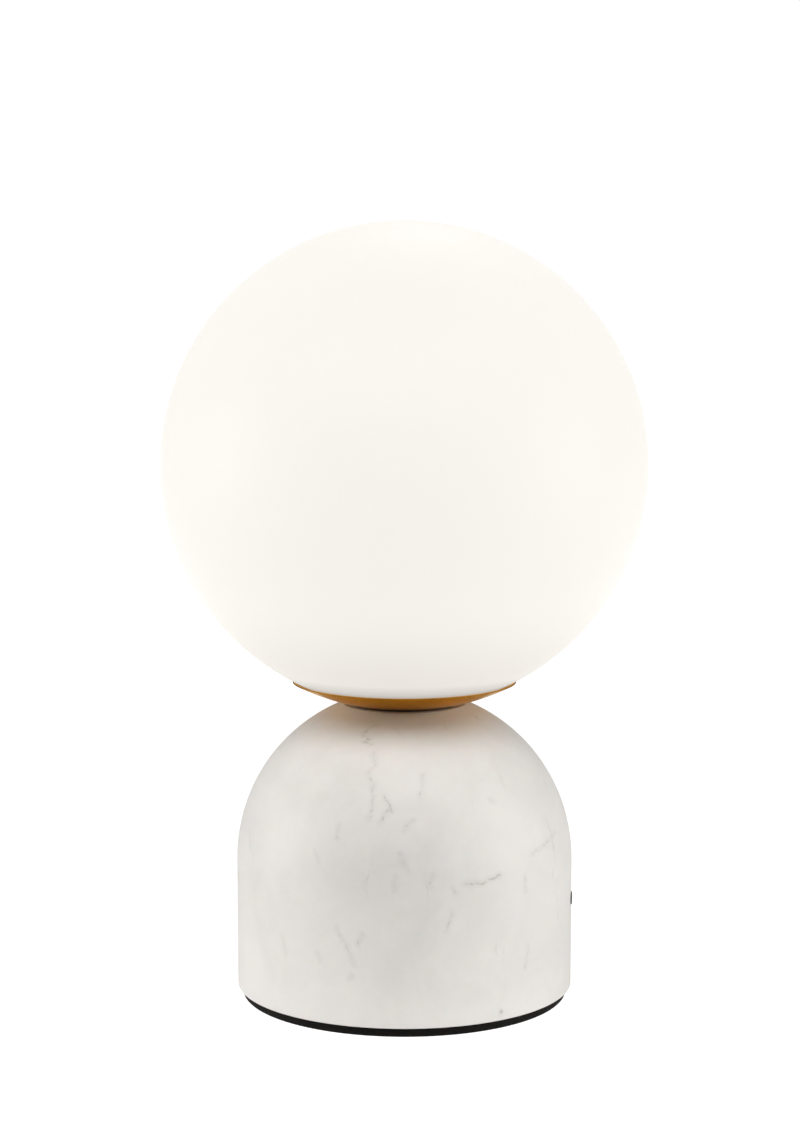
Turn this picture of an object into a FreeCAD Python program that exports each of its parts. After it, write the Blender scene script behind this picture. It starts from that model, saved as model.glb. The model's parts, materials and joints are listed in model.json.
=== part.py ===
import FreeCAD, Part
import math
import os

# A table lamp: an opal glass globe that rests in a shallow brass dish, on a drum of marble with a
# full dome on top. Millimetres, +Z up, front -Y, right +X. The origin is the centre of the underside.

# --- Driving dimensions ---------------------------------------------------------------------------

# Glass globe
globe_radius = 100.0
globe_wall = 2.5
globe_opening_radius = 40.0        # outer edge of the ground face round the opening

# Brass dish
dish_wall = 0.8
dish_rim_radius = 47.0
dish_floor_radius = 24.7           # flat floor, where the globe's curve begins
dish_glass_gap = 0.3               # between the dish's hollow side and the glass
seat_washer_inset = 2.5            # from the edge of the marble's seat
seat_washer_thickness = 0.8

# Marble base
base_radius = 70.0
base_drum_height = 53.5            # straight side, below the dome
base_flat_radius = 25.5            # ground seat on top of the dome
base_wall = 23.0
base_crown = 37.7                  # marble left above the cavity
base_arris = 0.6
cavity_corner_radius = 6.0

# Pad and cover plate
pad_inset = 2.3                    # from the marble's flank
pad_thickness = 4.0
pad_edge = 0.5
plate_land = 11.3                  # seat of the plate round the cavity
plate_thickness = 2.0
plate_clearance = 0.3
cover_screw_count = 3
cover_screw_first_angle = 30.0
cover_screw_length = 9.0
insert_radius = 2.5
insert_length = 8.0

# Small screws, radii
m3_radius = 1.5
m3_head_radius = 2.8
m3_head_height = 1.5
slot_width = 0.8
slot_depth = 0.6

# Tie tube with its nuts, M10 x 1
tube_radius = 5.0
tube_bore_radius = 3.6
tube_lower_end = 2.6               # below the lower nut
tube_upper_end = 1.0               # above the floor of the lampholder cup
nut_width = 17.0                   # across flats
nut_height = 4.0
nut_chamfer = 0.6
washer_radius = 12.0
washer_thickness = 1.6
thread_clearance = 0.05
hole_clearance = 0.25

# Spring carrier in the dish
carrier_inset = 2.7                # from the edge of the dish's flat floor
carrier_thickness = 1.2
arm_count = 3
arm_first_angle = 90.0
arm_width = 8.0
arm_thickness = 0.6
arm_nut_gap = 3.5                  # from the upper nut's flats to the arm's end
arm_overhang = 4.0                 # past the carrier, before the arm bends up
arm_land_height = 5.5              # straight stretch that faces the opening's edge
arm_tip_height = 10.0
arm_tip_inset = 5.0
arm_glass_gap = 0.3
rivet_radius = 1.5
rivet_head_radius = 2.5
rivet_head_height = 0.9
cushion_inset = 1.5                # inside the globe's cut edge
cushion_width = 4.5

# Lampholder
holder_rise = 24.5                 # from the carrier up to the cup
cup_radius = 13.0
cup_wall = 1.2
cup_floor = 4.0
cup_height = 24.0
core_flange = 3.0
core_depth = 11.0                  # ceramic inside the cup
core_clearance = 0.2
pin_spacing = 9.0
pin_wire_radius = 0.4
pin_loop_width = 2.4
pin_length = 9.5
pocket_width = 2.4                 # along X
pocket_length = 5.2                # along Y
pocket_depth = 11.0
contact_thickness = 0.4
contact_width = 4.0
contact_pin_gap = 0.3
contact_height = 9.0
holder_screw_height = 18.0         # above the cup's underside
holder_screw_length = 4.0

# Lamp
lamp_radius = 9.0
lamp_cover_wall = 1.2
lamp_cover_length = 45.0           # with its domed end
lamp_foot_width = 14.0
lamp_foot_depth = 6.4
lamp_foot_height = 6.0
lamp_collar_height = 5.0
board_width = 9.6
board_thickness = 1.4
board_height = 33.0

# Push switch in the right flank
button_height = 41.2
button_radius = 2.75
button_proud = 0.3
button_head_length = 1.9
button_stem_radius = 2.25
button_travel = 1.2
button_edge = 0.3
button_hole_radius = 2.9
button_countersink_radius = 4.5
sleeve_radius = 2.8
guide_clearance = 0.05
sleeve_reach = 1.0                 # into the cavity
sleeve_head_gap = 0.2              # left under the pressed button's head
switch_wall_gap = 9.0              # from the cavity's wall to the bracket
bracket_thickness = 1.2
bracket_width = 16.0
bracket_foot = 13.0
bracket_margin = 7.5               # above the switch's axis
bush_radius = 3.5
bush_flange_thickness = 1.5
bush_length = 4.2                  # in front of its flange
switch_nut_width = 9.0
switch_nut_height = 2.2
switch_size = 14.0
switch_length = 18.0
switch_back = 4.0                  # plastic behind the spring
chamber_radius = 3.2
plunger_radius = 1.5
plunger_tail = 10.0                # behind the collar
plunger_tip = 5.0                  # in front of the bush
plunger_collar_radius = 2.8
plunger_collar_thickness = 1.2
plunger_grip = 3.0                 # held in the button's stem
spring_radius = 2.3
spring_wire_radius = 0.25
spring_turns = 6
blade_spacing = 7.0
blade_width = 4.0
blade_thickness = 0.6
blade_length = 10.0
blade_root = 3.0

# Terminal block
pole_count = 3
pole_pitch = 9.0
block_blade_gap = 11.3             # behind the switch's blades
block_y = 4.0
block_width = 16.0
block_height = 12.0
block_margin = 4.0                 # beyond the outer poles
clamp_radius = 2.45
clamp_bore_radius = 1.5
clamp_length = 12.0
clamp_height = 6.0                 # above the cover plate
clamp_screw_offset = 3.5
clamp_screw_radius = 1.2
block_screw_radius = 1.2
block_screw_head_radius = 1.8
block_screw_head_height = 1.4

# Earth lug and inner wires
lug_radius = 8.5
lug_thickness = 0.8
lug_tail_width = 5.0
lug_tail_end = 18.0
wire_radius = 1.0
wire_spread = 1.3                  # from the tube's axis
wire_exit_rise = 1.5               # from the tube's end up to the next bend
wire_last_run = 5.5                # below a contact
wire_drop = 20.0                   # straight stretch below the tube

# Bends of the inner wires, from the piece that each is named for
neutral_block_gap = 5.0
neutral_shift = 2.0
neutral_rise = 18.0
live_block_gap = 8.0
live_low_block_gap = 11.0
live_low_rise = 4.0
live_low_blade_gap = 12.0
live_high_blade_gap = 8.0
live_high_side = 5.0
live_high_drop = 6.0
live_blade_run = 6.0
switched_blade_run = 7.0
earth_block_gap = 9.0
earth_front_gap = 16.0
earth_low_shift = 16.0
earth_low_rise = 2.0
earth_high_shift = 21.0
earth_high_rise = 22.0
earth_lug_run = 24.0

# Cord entry at the back
entry_height = 18.0
entry_bore_radius = 3.4
entry_radius = 5.0
entry_flange_radius = 7.5
entry_flange_thickness = 2.0
entry_recess = 2.6
entry_reach = 2.0                  # into the cavity
entry_clearance = 0.1

# --- Derived levels and radii ---------------------------------------------------------------------

base_bottom = pad_thickness
dome_start = base_bottom + base_drum_height
base_top = dome_start + math.sqrt(base_radius**2 - base_flat_radius**2)
cavity_radius = base_radius - base_wall
cavity_top = base_top - base_crown
plate_top = base_bottom + plate_thickness
plate_radius = cavity_radius + plate_land
pad_radius = base_radius - pad_inset

seat_washer_radius = base_flat_radius - seat_washer_inset
dish_bottom = base_top + seat_washer_thickness
dish_floor = dish_bottom + dish_wall
dish_inner_sphere = globe_radius + dish_glass_gap
dish_outer_sphere = dish_inner_sphere + dish_wall
globe_centre = dish_floor + math.sqrt(dish_inner_sphere**2 - dish_floor_radius**2)
dish_rim = globe_centre - math.sqrt(dish_outer_sphere**2 - dish_rim_radius**2)
globe_inner_radius = globe_radius - globe_wall
globe_edge = globe_centre - math.sqrt(globe_radius**2 - globe_opening_radius**2)
opening_inner_radius = math.sqrt(globe_inner_radius**2 - (globe_centre - globe_edge)**2)
cushion_outer_radius = globe_opening_radius - cushion_inset
cushion_inner_radius = cushion_outer_radius - cushion_width

tube_hole_radius = tube_radius + hole_clearance
thread_hole_radius = tube_radius + thread_clearance
lug_top = cavity_top - washer_thickness
lower_nut_top = lug_top - lug_thickness
tube_bottom = lower_nut_top - nut_height - tube_lower_end
carrier_top = dish_floor + carrier_thickness
carrier_radius = dish_floor_radius - carrier_inset
arm_inner_radius = nut_width / 2 + arm_nut_gap
arm_bend_radius = carrier_radius + arm_overhang
rivet_circle_radius = (arm_inner_radius + carrier_radius) / 2
cup_bottom = carrier_top + holder_rise
cup_top = cup_bottom + cup_height
tube_top = cup_bottom + cup_floor + tube_upper_end
core_top = cup_top + core_flange
core_bottom = cup_top - core_depth
pocket_bottom = core_top - pocket_depth
pin_x = pin_spacing / 2
contact_x = pin_x + pin_wire_radius + contact_pin_gap
lamp_collar_bottom = core_top + lamp_foot_height
lamp_cover_bottom = lamp_collar_bottom + lamp_collar_height

bracket_front = cavity_radius - switch_wall_gap
bracket_back = bracket_front - bracket_thickness
switch_front = bracket_back - bush_flange_thickness
bush_front = bracket_back + bush_length
plunger_front = bush_front + plunger_tip
collar_back = switch_front - plunger_collar_thickness
chamber_back = switch_front - switch_length + switch_back
blade_back = chamber_back - switch_back + blade_root - blade_length
button_front = base_radius + button_proud
button_neck = button_front - button_head_length
sleeve_front = button_neck - button_travel - sleeve_head_gap
countersink_depth = button_countersink_radius - button_hole_radius

block_half_length = (pole_count - 1) * pole_pitch / 2 + block_margin
block_x = blade_back - block_blade_gap - block_half_length
clamp_level = plate_top + clamp_height
block_front = block_y - block_width / 2
entry_seat = base_radius - entry_recess

X = FreeCAD.Vector(1, 0, 0)
Y = FreeCAD.Vector(0, 1, 0)
Z = FreeCAD.Vector(0, 0, 1)


# --- Shapes used by several pieces ----------------------------------------------------------------

def at(x, y, z):
    """A point."""
    return FreeCAD.Vector(x, y, z)


def rod(radius, start, axis, length):
    """A round bar from start along axis."""
    return Part.makeCylinder(radius, length, start, axis)


def tube(radius, bore, start, axis, length):
    """A round bar with a bore."""
    return rod(radius, start, axis, length).cut(rod(bore, start, axis, length))


def block(low, high):
    """A box between two corners."""
    size = high - low
    return Part.makeBox(size.x, size.y, size.z, low)


def sphere(radius):
    """A ball about the globe's centre."""
    return Part.makeSphere(radius, at(0, 0, globe_centre))


def slab(low, high):
    """Everything between two levels, wider than the lamp."""
    reach = 2 * (globe_radius + base_radius)
    return block(at(-reach, -reach, low), at(reach, reach, high))


def turned(points):
    """A polygon of (radius, level) points, turned about the lamp's axis."""
    corners = [at(radius, 0, level) for radius, level in points]
    face = Part.Face(Part.makePolygon(corners + corners[:1]))
    return face.revolve(at(0, 0, 0), Z, 360)


def around(shape, count, first_angle):
    """Copies of a shape, evenly spaced about the lamp's axis. The shape itself lies at angle 0."""
    copies = []
    for index in range(count):
        copy = shape.copy()
        copy.rotate(at(0, 0, 0), Z, first_angle + index * 360 / count)
        copies.append(copy)
    return copies


def hex_nut(width, hole_radius, start, axis, height):
    """A hexagon nut with its corners turned off at both ends."""
    corner_radius = width / math.sqrt(3)
    corners = [
        at(corner_radius * math.cos(math.radians(60 * k)), corner_radius * math.sin(math.radians(60 * k)), 0)
        for k in range(6)
    ]
    prism = Part.Face(Part.makePolygon(corners + corners[:1])).extrude(at(0, 0, height))
    blank = Part.makeCylinder(corner_radius, height)
    ends = [edge for edge in blank.Edges if isinstance(edge.Curve, Part.Circle)]
    nut = prism.common(blank.makeChamfer(nut_chamfer, ends)).cut(Part.makeCylinder(hole_radius, height))
    nut.Placement = FreeCAD.Placement(start, FreeCAD.Rotation(Z, axis))
    return nut


def slotted_screw(radius, head_radius, head_height, start, axis, length):
    """A screw whose shank runs from start along axis, with a slotted flat head behind start."""
    head = rod(head_radius, start - axis * head_height, axis, head_height)
    across = Z if abs(axis.z) < 0.5 else X
    side = axis.cross(across)
    low = start - axis * head_height - across * head_radius - side * (slot_width / 2)
    high = start - axis * (head_height - slot_depth) + across * head_radius + side * (slot_width / 2)
    slot = block(
        at(min(low.x, high.x), min(low.y, high.y), min(low.z, high.z)),
        at(max(low.x, high.x), max(low.y, high.y), max(low.z, high.z)),
    )
    return rod(radius, start, axis, length).fuse(head).removeSplitter().cut(slot)


def bent_strip(points, thickness, width):
    """Sheet metal bent in the XZ plane: points run along its middle, and it is centred on Y."""
    offsets = []
    for index, point in enumerate(points):
        before = points[index - 1] if index else None
        after = points[index + 1] if index + 1 < len(points) else None
        normals = []
        for start, end in ((before, point), (point, after)):
            if start and end:
                run = math.hypot(end[0] - start[0], end[1] - start[1])
                normals.append(((start[1] - end[1]) / run, (end[0] - start[0]) / run))
        mitre_x = sum(normal[0] for normal in normals)
        mitre_z = sum(normal[1] for normal in normals)
        scale = thickness / 2 * len(normals) / (mitre_x**2 + mitre_z**2)
        offsets.append((mitre_x * scale, mitre_z * scale))
    one_side = [at(p[0] + o[0], -width / 2, p[1] + o[1]) for p, o in zip(points, offsets)]
    other_side = [at(p[0] - o[0], -width / 2, p[1] - o[1]) for p, o in zip(points, offsets)]
    outline = one_side + other_side[::-1]
    return Part.Face(Part.makePolygon(outline + outline[:1])).extrude(at(0, width, 0))


def corner_arc(start, corner, end):
    """The arc that leaves start towards the corner and reaches end from it, both equally far off."""
    setback = (corner - start).Length
    into = (corner - start).normalize()
    out = (end - corner).normalize()
    half_turn = into.getAngle(out) / 2
    radius = setback / math.tan(half_turn)
    middle = corner + (out - into).normalize() * (radius / math.cos(half_turn) - radius)
    return Part.Arc(start, middle, end).toShape()


def wire_path(points):
    """Straight runs joined by tangent arcs, each as large as its two runs allow."""
    edges = []
    start = points[0]
    for before, corner, after in zip(points, points[1:], points[2:]):
        into = (corner - before).normalize()
        out = (after - corner).normalize()
        setback = 0.45 * min((corner - before).Length, (after - corner).Length)
        arc_start = corner - into * setback
        arc_end = corner + out * setback
        edges.append(Part.LineSegment(start, arc_start).toShape())
        edges.append(corner_arc(arc_start, corner, arc_end))
        start = arc_end
    edges.append(Part.LineSegment(start, points[-1]).toShape())
    return Part.Wire(edges)


def coil_path(radius, length, turns):
    """A coil along Z, with two tangent arcs to each quarter turn."""
    rise = length / (2 * math.pi * turns)
    edges = []
    for quarter in range(4 * turns):
        ends = []
        for angle in (math.pi / 2 * quarter, math.pi / 2 * (quarter + 1)):
            place = at(radius * math.cos(angle), radius * math.sin(angle), rise * angle)
            heading = at(-radius * math.sin(angle), radius * math.cos(angle), rise).normalize()
            ends.append((place, heading))
        (first, leaving), (last, arriving) = ends
        span = last - first
        along = span.dot(leaving + arriving)
        spread = 2 * (1 - leaving.dot(arriving))
        setback = (math.sqrt(along**2 + spread * span.dot(span)) - along) / spread
        first_corner = first + leaving * setback
        last_corner = last - arriving * setback
        joint = (first_corner + last_corner) / 2
        edges.append(corner_arc(first, first_corner, joint))
        edges.append(corner_arc(joint, last_corner, last))
    return Part.Wire(edges)


def swept(path, radius):
    """A round wire along a path."""
    tangent = path.Edges[0].tangentAt(path.Edges[0].FirstParameter)
    start = path.Edges[0].valueAt(path.Edges[0].FirstParameter)
    profile = Part.Wire(Part.makeCircle(radius, start, tangent))
    return path.makePipeShell([profile], True, False)


# --- Globe and dish -------------------------------------------------------------------------------

def glass_globe():
    """A blown ball, cut level and ground flat round its opening."""
    shell = sphere(globe_radius).cut(sphere(globe_inner_radius))
    return shell.cut(slab(globe_centre - 2 * globe_radius, globe_edge))


def brass_dish():
    """A spun dish that follows the globe from a flat floor up to a level rim."""
    outside = sphere(dish_outer_sphere).common(slab(dish_bottom, dish_rim))
    hollow = sphere(dish_inner_sphere).common(slab(dish_floor, globe_centre))
    hole = rod(tube_hole_radius, at(0, 0, dish_bottom), Z, dish_wall)
    return outside.cut(hollow).cut(hole)


def seat_washer():
    """A thin fibre washer between marble and brass."""
    return tube(seat_washer_radius, tube_hole_radius, at(0, 0, base_top), Z, seat_washer_thickness)


def cushion_ring():
    """A soft ring in the dish, with a level top for the globe's ground edge."""
    def dish_level(radius):
        return globe_centre - math.sqrt(dish_inner_sphere**2 - radius**2)
    return turned([
        (cushion_inner_radius, dish_level(cushion_inner_radius)),
        (cushion_outer_radius, dish_level(cushion_outer_radius)),
        (cushion_outer_radius, globe_edge),
        (cushion_inner_radius, globe_edge),
    ])


def spring_carrier():
    """The plate on the dish's floor that carries the spring arms."""
    plate = tube(carrier_radius, tube_hole_radius, at(0, 0, dish_floor), Z, carrier_thickness)
    hole = rod(rivet_radius + thread_clearance, at(rivet_circle_radius, 0, dish_floor), Z, carrier_thickness)
    return plate.cut(Part.makeCompound(around(hole, arm_count, arm_first_angle)))


def spring_arms():
    """Leaf arms that rise beside the opening's inner edge and lean inwards at their tips."""
    middle = carrier_top + arm_thickness / 2
    edge_radius = opening_inner_radius - arm_glass_gap
    land_radius = math.sqrt(edge_radius**2 - (arm_width / 2)**2) - arm_thickness / 2
    land_middle = globe_edge + arm_thickness
    strip = bent_strip(
        [
            (arm_inner_radius, middle),
            (arm_bend_radius, middle),
            (land_radius, land_middle - arm_land_height / 2),
            (land_radius, land_middle + arm_land_height / 2),
            (land_radius - arm_tip_inset, land_middle + arm_land_height / 2 + arm_tip_height),
        ],
        arm_thickness,
        arm_width,
    )
    hole = rod(rivet_radius + thread_clearance, at(rivet_circle_radius, 0, carrier_top), Z, arm_thickness)
    return around(strip.cut(hole), arm_count, arm_first_angle)


def arm_rivets():
    """Rivets, flush below, that hold the arms to the carrier."""
    arm_top = carrier_top + arm_thickness
    shank = rod(rivet_radius, at(rivet_circle_radius, 0, dish_floor), Z, arm_top - dish_floor)
    head = rod(rivet_head_radius, at(rivet_circle_radius, 0, arm_top), Z, rivet_head_height)
    return around(shank.fuse(head), arm_count, arm_first_angle)


# --- Marble base ----------------------------------------------------------------------------------

def cover_screw_radius():
    """Distance of the cover's screws from the axis: the middle of the land round the cavity."""
    return (cavity_radius + plate_radius) / 2


def marble_base():
    """The drum and its dome, hollowed from below, with holes for tube, button and cord."""
    drum = rod(base_radius, at(0, 0, base_bottom), Z, base_drum_height)
    dome = Part.makeSphere(base_radius, at(0, 0, dome_start)).common(slab(dome_start, base_top))
    stone = drum.fuse(dome).removeSplitter()
    rims = [
        edge for edge in stone.Edges
        if isinstance(edge.Curve, Part.Circle) and abs(edge.Curve.Center.z - dome_start) > base_arris
    ]
    stone = stone.makeFillet(base_arris, rims)

    cavity = rod(cavity_radius, at(0, 0, base_bottom), Z, cavity_top - base_bottom)
    ceiling = [
        edge for edge in cavity.Edges
        if isinstance(edge.Curve, Part.Circle) and abs(edge.Curve.Center.z - cavity_top) < base_arris
    ]
    cavity = cavity.makeFillet(cavity_corner_radius, ceiling)
    rebate = rod(plate_radius + plate_clearance, at(0, 0, base_bottom), Z, plate_thickness)
    tube_hole = rod(tube_hole_radius, at(0, 0, cavity_top), Z, base_crown)
    insert_hole = rod(
        insert_radius + thread_clearance, at(cover_screw_radius(), 0, plate_top), Z, cover_screw_length
    )
    insert_holes = around(insert_hole, cover_screw_count, cover_screw_first_angle)

    button_hole = rod(button_hole_radius, at(0, 0, button_height), X, base_radius)
    countersink = Part.makeCone(
        button_hole_radius,
        button_countersink_radius + countersink_depth,
        2 * countersink_depth,
        at(base_radius - countersink_depth, 0, button_height),
        X,
    )
    entry_hole = rod(entry_radius + entry_clearance, at(0, 0, entry_height), Y, base_radius)
    entry_recess_hole = rod(
        entry_flange_radius + entry_clearance, at(0, entry_seat, entry_height), Y, 2 * entry_recess
    )
    holes = [cavity, rebate, tube_hole, button_hole, countersink, entry_hole, entry_recess_hole]
    return stone.cut(Part.makeCompound(holes + insert_holes))


def base_pad():
    """The flat pad under marble and cover plate, its lower edge eased."""
    return turned([
        (0, 0),
        (pad_radius - pad_edge, 0),
        (pad_radius, pad_edge),
        (pad_radius, pad_thickness),
        (0, pad_thickness),
    ])


def plate_screw_points():
    """Centres of the bracket's rivets, on the cover plate."""
    x = bracket_back - bracket_foot / 2
    return [at(x, side * bracket_width / 4, plate_top) for side in (-1, 1)]


def cover_plate():
    """A steel disc that closes the cavity from below."""
    plate = rod(plate_radius, at(0, 0, base_bottom), Z, plate_thickness)
    centre = at(cover_screw_radius(), 0, base_bottom)
    head = Part.makeCone(
        m3_head_radius + thread_clearance, m3_radius + thread_clearance, m3_head_height, centre, Z
    )
    hole = head.fuse(rod(m3_radius + thread_clearance, centre, Z, plate_thickness))
    holes = around(hole, cover_screw_count, cover_screw_first_angle)
    for point in plate_screw_points():
        holes.append(rod(rivet_radius + thread_clearance, point - Z * plate_thickness, Z, plate_thickness))
    holes.append(rod(
        block_screw_radius + thread_clearance,
        at(block_x + pole_pitch / 2, block_y, base_bottom), Z, plate_thickness,
    ))
    return plate.cut(Part.makeCompound(holes))


def cover_screws():
    """Countersunk screws, flush with the plate's underside."""
    centre = at(cover_screw_radius(), 0, base_bottom)
    head = Part.makeCone(m3_head_radius, m3_radius, m3_head_height, centre, Z)
    screw = head.fuse(rod(m3_radius, centre, Z, cover_screw_length))
    slot = block(
        centre - X * m3_head_radius - Y * (slot_width / 2),
        centre + X * m3_head_radius + Y * (slot_width / 2) + Z * slot_depth,
    )
    return around(screw.cut(slot), cover_screw_count, cover_screw_first_angle)


def threaded_inserts():
    """Brass inserts bonded into the marble for the cover's screws."""
    insert = tube(
        insert_radius, m3_radius + thread_clearance,
        at(cover_screw_radius(), 0, plate_top), Z, insert_length,
    )
    return around(insert, cover_screw_count, cover_screw_first_angle)


def cord_bush():
    """The flanged bush that a cord enters through, at the back."""
    inner_end = cavity_radius - entry_reach
    body = rod(entry_radius, at(0, inner_end, entry_height), Y, entry_seat - inner_end)
    flange = rod(entry_flange_radius, at(0, entry_seat, entry_height), Y, entry_flange_thickness)
    bore_length = entry_seat + entry_flange_thickness - inner_end
    bore = rod(entry_bore_radius, at(0, inner_end, entry_height), Y, bore_length)
    return body.fuse(flange).removeSplitter().cut(bore)


# --- Tie tube and its nuts ------------------------------------------------------------------------

def tie_tube():
    """The hollow threaded tube that clamps marble, dish, carrier and lampholder."""
    return tube(tube_radius, tube_bore_radius, at(0, 0, tube_bottom), Z, tube_top - tube_bottom)


def lower_washer():
    """The wide washer against the cavity's ceiling."""
    return tube(washer_radius, tube_hole_radius, at(0, 0, lug_top), Z, washer_thickness)


def earth_lug():
    """A ring lug between washer and nut, with a tail that hangs in front."""
    ring = tube(lug_radius, tube_hole_radius, at(0, 0, lower_nut_top), Z, lug_thickness)
    tail = block(
        at(-lug_tail_width / 2, -lug_tail_end, lower_nut_top),
        at(lug_tail_width / 2, -tube_hole_radius, lug_top),
    )
    hole = rod(tube_hole_radius, at(0, 0, lower_nut_top), Z, lug_thickness)
    return ring.fuse(tail).removeSplitter().cut(hole)


def lower_nut():
    """The nut that pulls the tube down."""
    return hex_nut(nut_width, thread_hole_radius, at(0, 0, lower_nut_top - nut_height), Z, nut_height)


def upper_nut():
    """The nut on the spring carrier."""
    return hex_nut(nut_width, thread_hole_radius, at(0, 0, carrier_top), Z, nut_height)


def holder_locknut():
    """The nut that locks the lampholder's cup."""
    return hex_nut(nut_width, thread_hole_radius, at(0, 0, cup_bottom - nut_height), Z, nut_height)


# --- Lampholder and lamp --------------------------------------------------------------------------

def holder_screw_points():
    """Starts of the side screws on the cup's surface, with their inward axes."""
    level = cup_bottom + holder_screw_height
    return [(at(0, side * cup_radius, level), Y * -side) for side in (-1, 1)]


def lampholder_cup():
    """A metal cup, screwed on the tube's end."""
    cup = rod(cup_radius, at(0, 0, cup_bottom), Z, cup_height)
    hollow = rod(cup_radius - cup_wall, at(0, 0, cup_bottom + cup_floor), Z, cup_height - cup_floor)
    hole = rod(thread_hole_radius, at(0, 0, cup_bottom), Z, cup_floor)
    cup = cup.cut(hollow).cut(hole)
    for start, axis in holder_screw_points():
        cup = cup.cut(rod(m3_radius + thread_clearance, start, axis, cup_wall * 2))
    return cup


def lampholder_core():
    """The ceramic insert with two pin pockets and a wire hole below each."""
    core = rod(cup_radius, at(0, 0, cup_top), Z, core_flange)
    core = core.fuse(rod(cup_radius - cup_wall - core_clearance, at(0, 0, core_bottom), Z, core_depth))
    core = core.removeSplitter()
    for side in (-1, 1):
        inner_x = pin_x - pocket_width / 2
        outer_x = contact_x + contact_thickness + thread_clearance
        pocket = block(
            at(inner_x, -pocket_length / 2, pocket_bottom),
            at(outer_x, pocket_length / 2, core_top),
        )
        if side < 0:
            pocket.rotate(at(0, 0, 0), Z, 180)
        hole_start = at(side * pin_x, 0, core_bottom)
        wire_hole = rod(wire_radius + core_clearance, hole_start, Z, pocket_bottom - core_bottom)
        core = core.cut(pocket).cut(wire_hole)
    for start, axis in holder_screw_points():
        core = core.cut(rod(m3_radius + thread_clearance, start, axis, holder_screw_length + core_clearance))
    return core


def holder_contacts():
    """Two bent strips, one beside each pin, with a foot over the wire hole."""
    middle = contact_x + contact_thickness / 2
    strip = bent_strip(
        [
            (pin_x - wire_radius, pocket_bottom + contact_thickness / 2),
            (middle, pocket_bottom + contact_thickness / 2),
            (middle, pocket_bottom + contact_height),
        ],
        contact_thickness,
        contact_width,
    )
    return around(strip, 2, 0)


def holder_screws():
    """Two side screws that hold the core in the cup."""
    return [
        slotted_screw(m3_radius, m3_head_radius, m3_head_height, start, axis, holder_screw_length)
        for start, axis in holder_screw_points()
    ]


def lamp_base():
    """The lamp's flat foot and round collar."""
    foot = block(
        at(-lamp_foot_width / 2, -lamp_foot_depth / 2, core_top),
        at(lamp_foot_width / 2, lamp_foot_depth / 2, lamp_collar_bottom),
    )
    return foot.fuse(rod(lamp_radius, at(0, 0, lamp_collar_bottom), Z, lamp_collar_height))


def lamp_pins():
    """Two wire loops under the foot."""
    half = pin_loop_width / 2
    top = core_top
    turn = top - pin_length + half
    pins = []
    for side in (-1, 1):
        x = side * pin_x
        path = Part.Wire([
            Part.LineSegment(at(x, -half, top), at(x, -half, turn)).toShape(),
            Part.Arc(at(x, -half, turn), at(x, 0, turn - half), at(x, half, turn)).toShape(),
            Part.LineSegment(at(x, half, turn), at(x, half, top)).toShape(),
        ])
        pins.append(swept(path, pin_wire_radius))
    return pins


def lamp_cover():
    """The frosted tube with its domed end."""
    straight = lamp_cover_length - lamp_radius
    foot = at(0, 0, lamp_cover_bottom)
    top = at(0, 0, lamp_cover_bottom + straight)
    bore = lamp_radius - lamp_cover_wall
    outside = rod(lamp_radius, foot, Z, straight).fuse(Part.makeSphere(lamp_radius, top))
    inside = rod(bore, foot, Z, straight).fuse(Part.makeSphere(bore, top))
    return outside.cut(inside)


def lamp_board():
    """The light board that stands in the cover."""
    return block(
        at(-board_width / 2, -board_thickness / 2, lamp_cover_bottom),
        at(board_width / 2, board_thickness / 2, lamp_cover_bottom + board_height),
    )


# --- Push switch ----------------------------------------------------------------------------------

def button_cap():
    """The black button: a head flush in the marble and a long stem."""
    stem_back = plunger_front - plunger_grip
    head = rod(button_radius, at(button_neck, 0, button_height), X, button_head_length)
    rim = [edge for edge in head.Edges if abs(edge.BoundBox.XMin - button_front) < button_edge / 2]
    head = head.makeFillet(button_edge, rim)
    stem = rod(button_stem_radius, at(stem_back, 0, button_height), X, button_neck - stem_back)
    grip = rod(plunger_radius, at(stem_back, 0, button_height), X, plunger_grip)
    return head.fuse(stem).cut(grip)


def button_sleeve():
    """The guide sleeve bonded in the marble's hole."""
    start = cavity_radius - sleeve_reach
    bore = button_stem_radius + guide_clearance
    return tube(sleeve_radius, bore, at(start, 0, button_height), X, sleeve_front - start)


def switch_plunger():
    """The plunger, held out by the spring until its collar meets the bush."""
    tail_back = collar_back - plunger_tail
    shaft = rod(plunger_radius, at(tail_back, 0, button_height), X, plunger_front - tail_back)
    collar = rod(plunger_collar_radius, at(collar_back, 0, button_height), X, plunger_collar_thickness)
    return shaft.fuse(collar)


def button_spring():
    """A coil spring between the switch's back wall and the plunger's collar."""
    length = collar_back - chamber_back - 2 * spring_wire_radius
    coil = swept(coil_path(spring_radius, length, spring_turns), spring_wire_radius)
    coil.Placement = FreeCAD.Placement(
        at(chamber_back + spring_wire_radius, 0, button_height), FreeCAD.Rotation(Z, X)
    )
    return coil


def blade_slot(side, clearance):
    """The space of one switch terminal, with a clearance all round."""
    centre = side * blade_spacing / 2
    half_thickness = blade_thickness / 2 + clearance
    half_width = blade_width / 2 + clearance
    return block(
        at(blade_back, centre - half_thickness, button_height - half_width),
        at(blade_back + blade_length, centre + half_thickness, button_height + half_width),
    )


def switch_body():
    """The plastic case, with a chamber for spring and collar and two terminal slots."""
    half = switch_size / 2
    case = block(
        at(switch_front - switch_length, -half, button_height - half),
        at(switch_front, half, button_height + half),
    )
    case = case.cut(rod(chamber_radius, at(chamber_back, 0, button_height), X, switch_front - chamber_back))
    return case.cut(blade_slot(-1, guide_clearance)).cut(blade_slot(1, guide_clearance))


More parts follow.
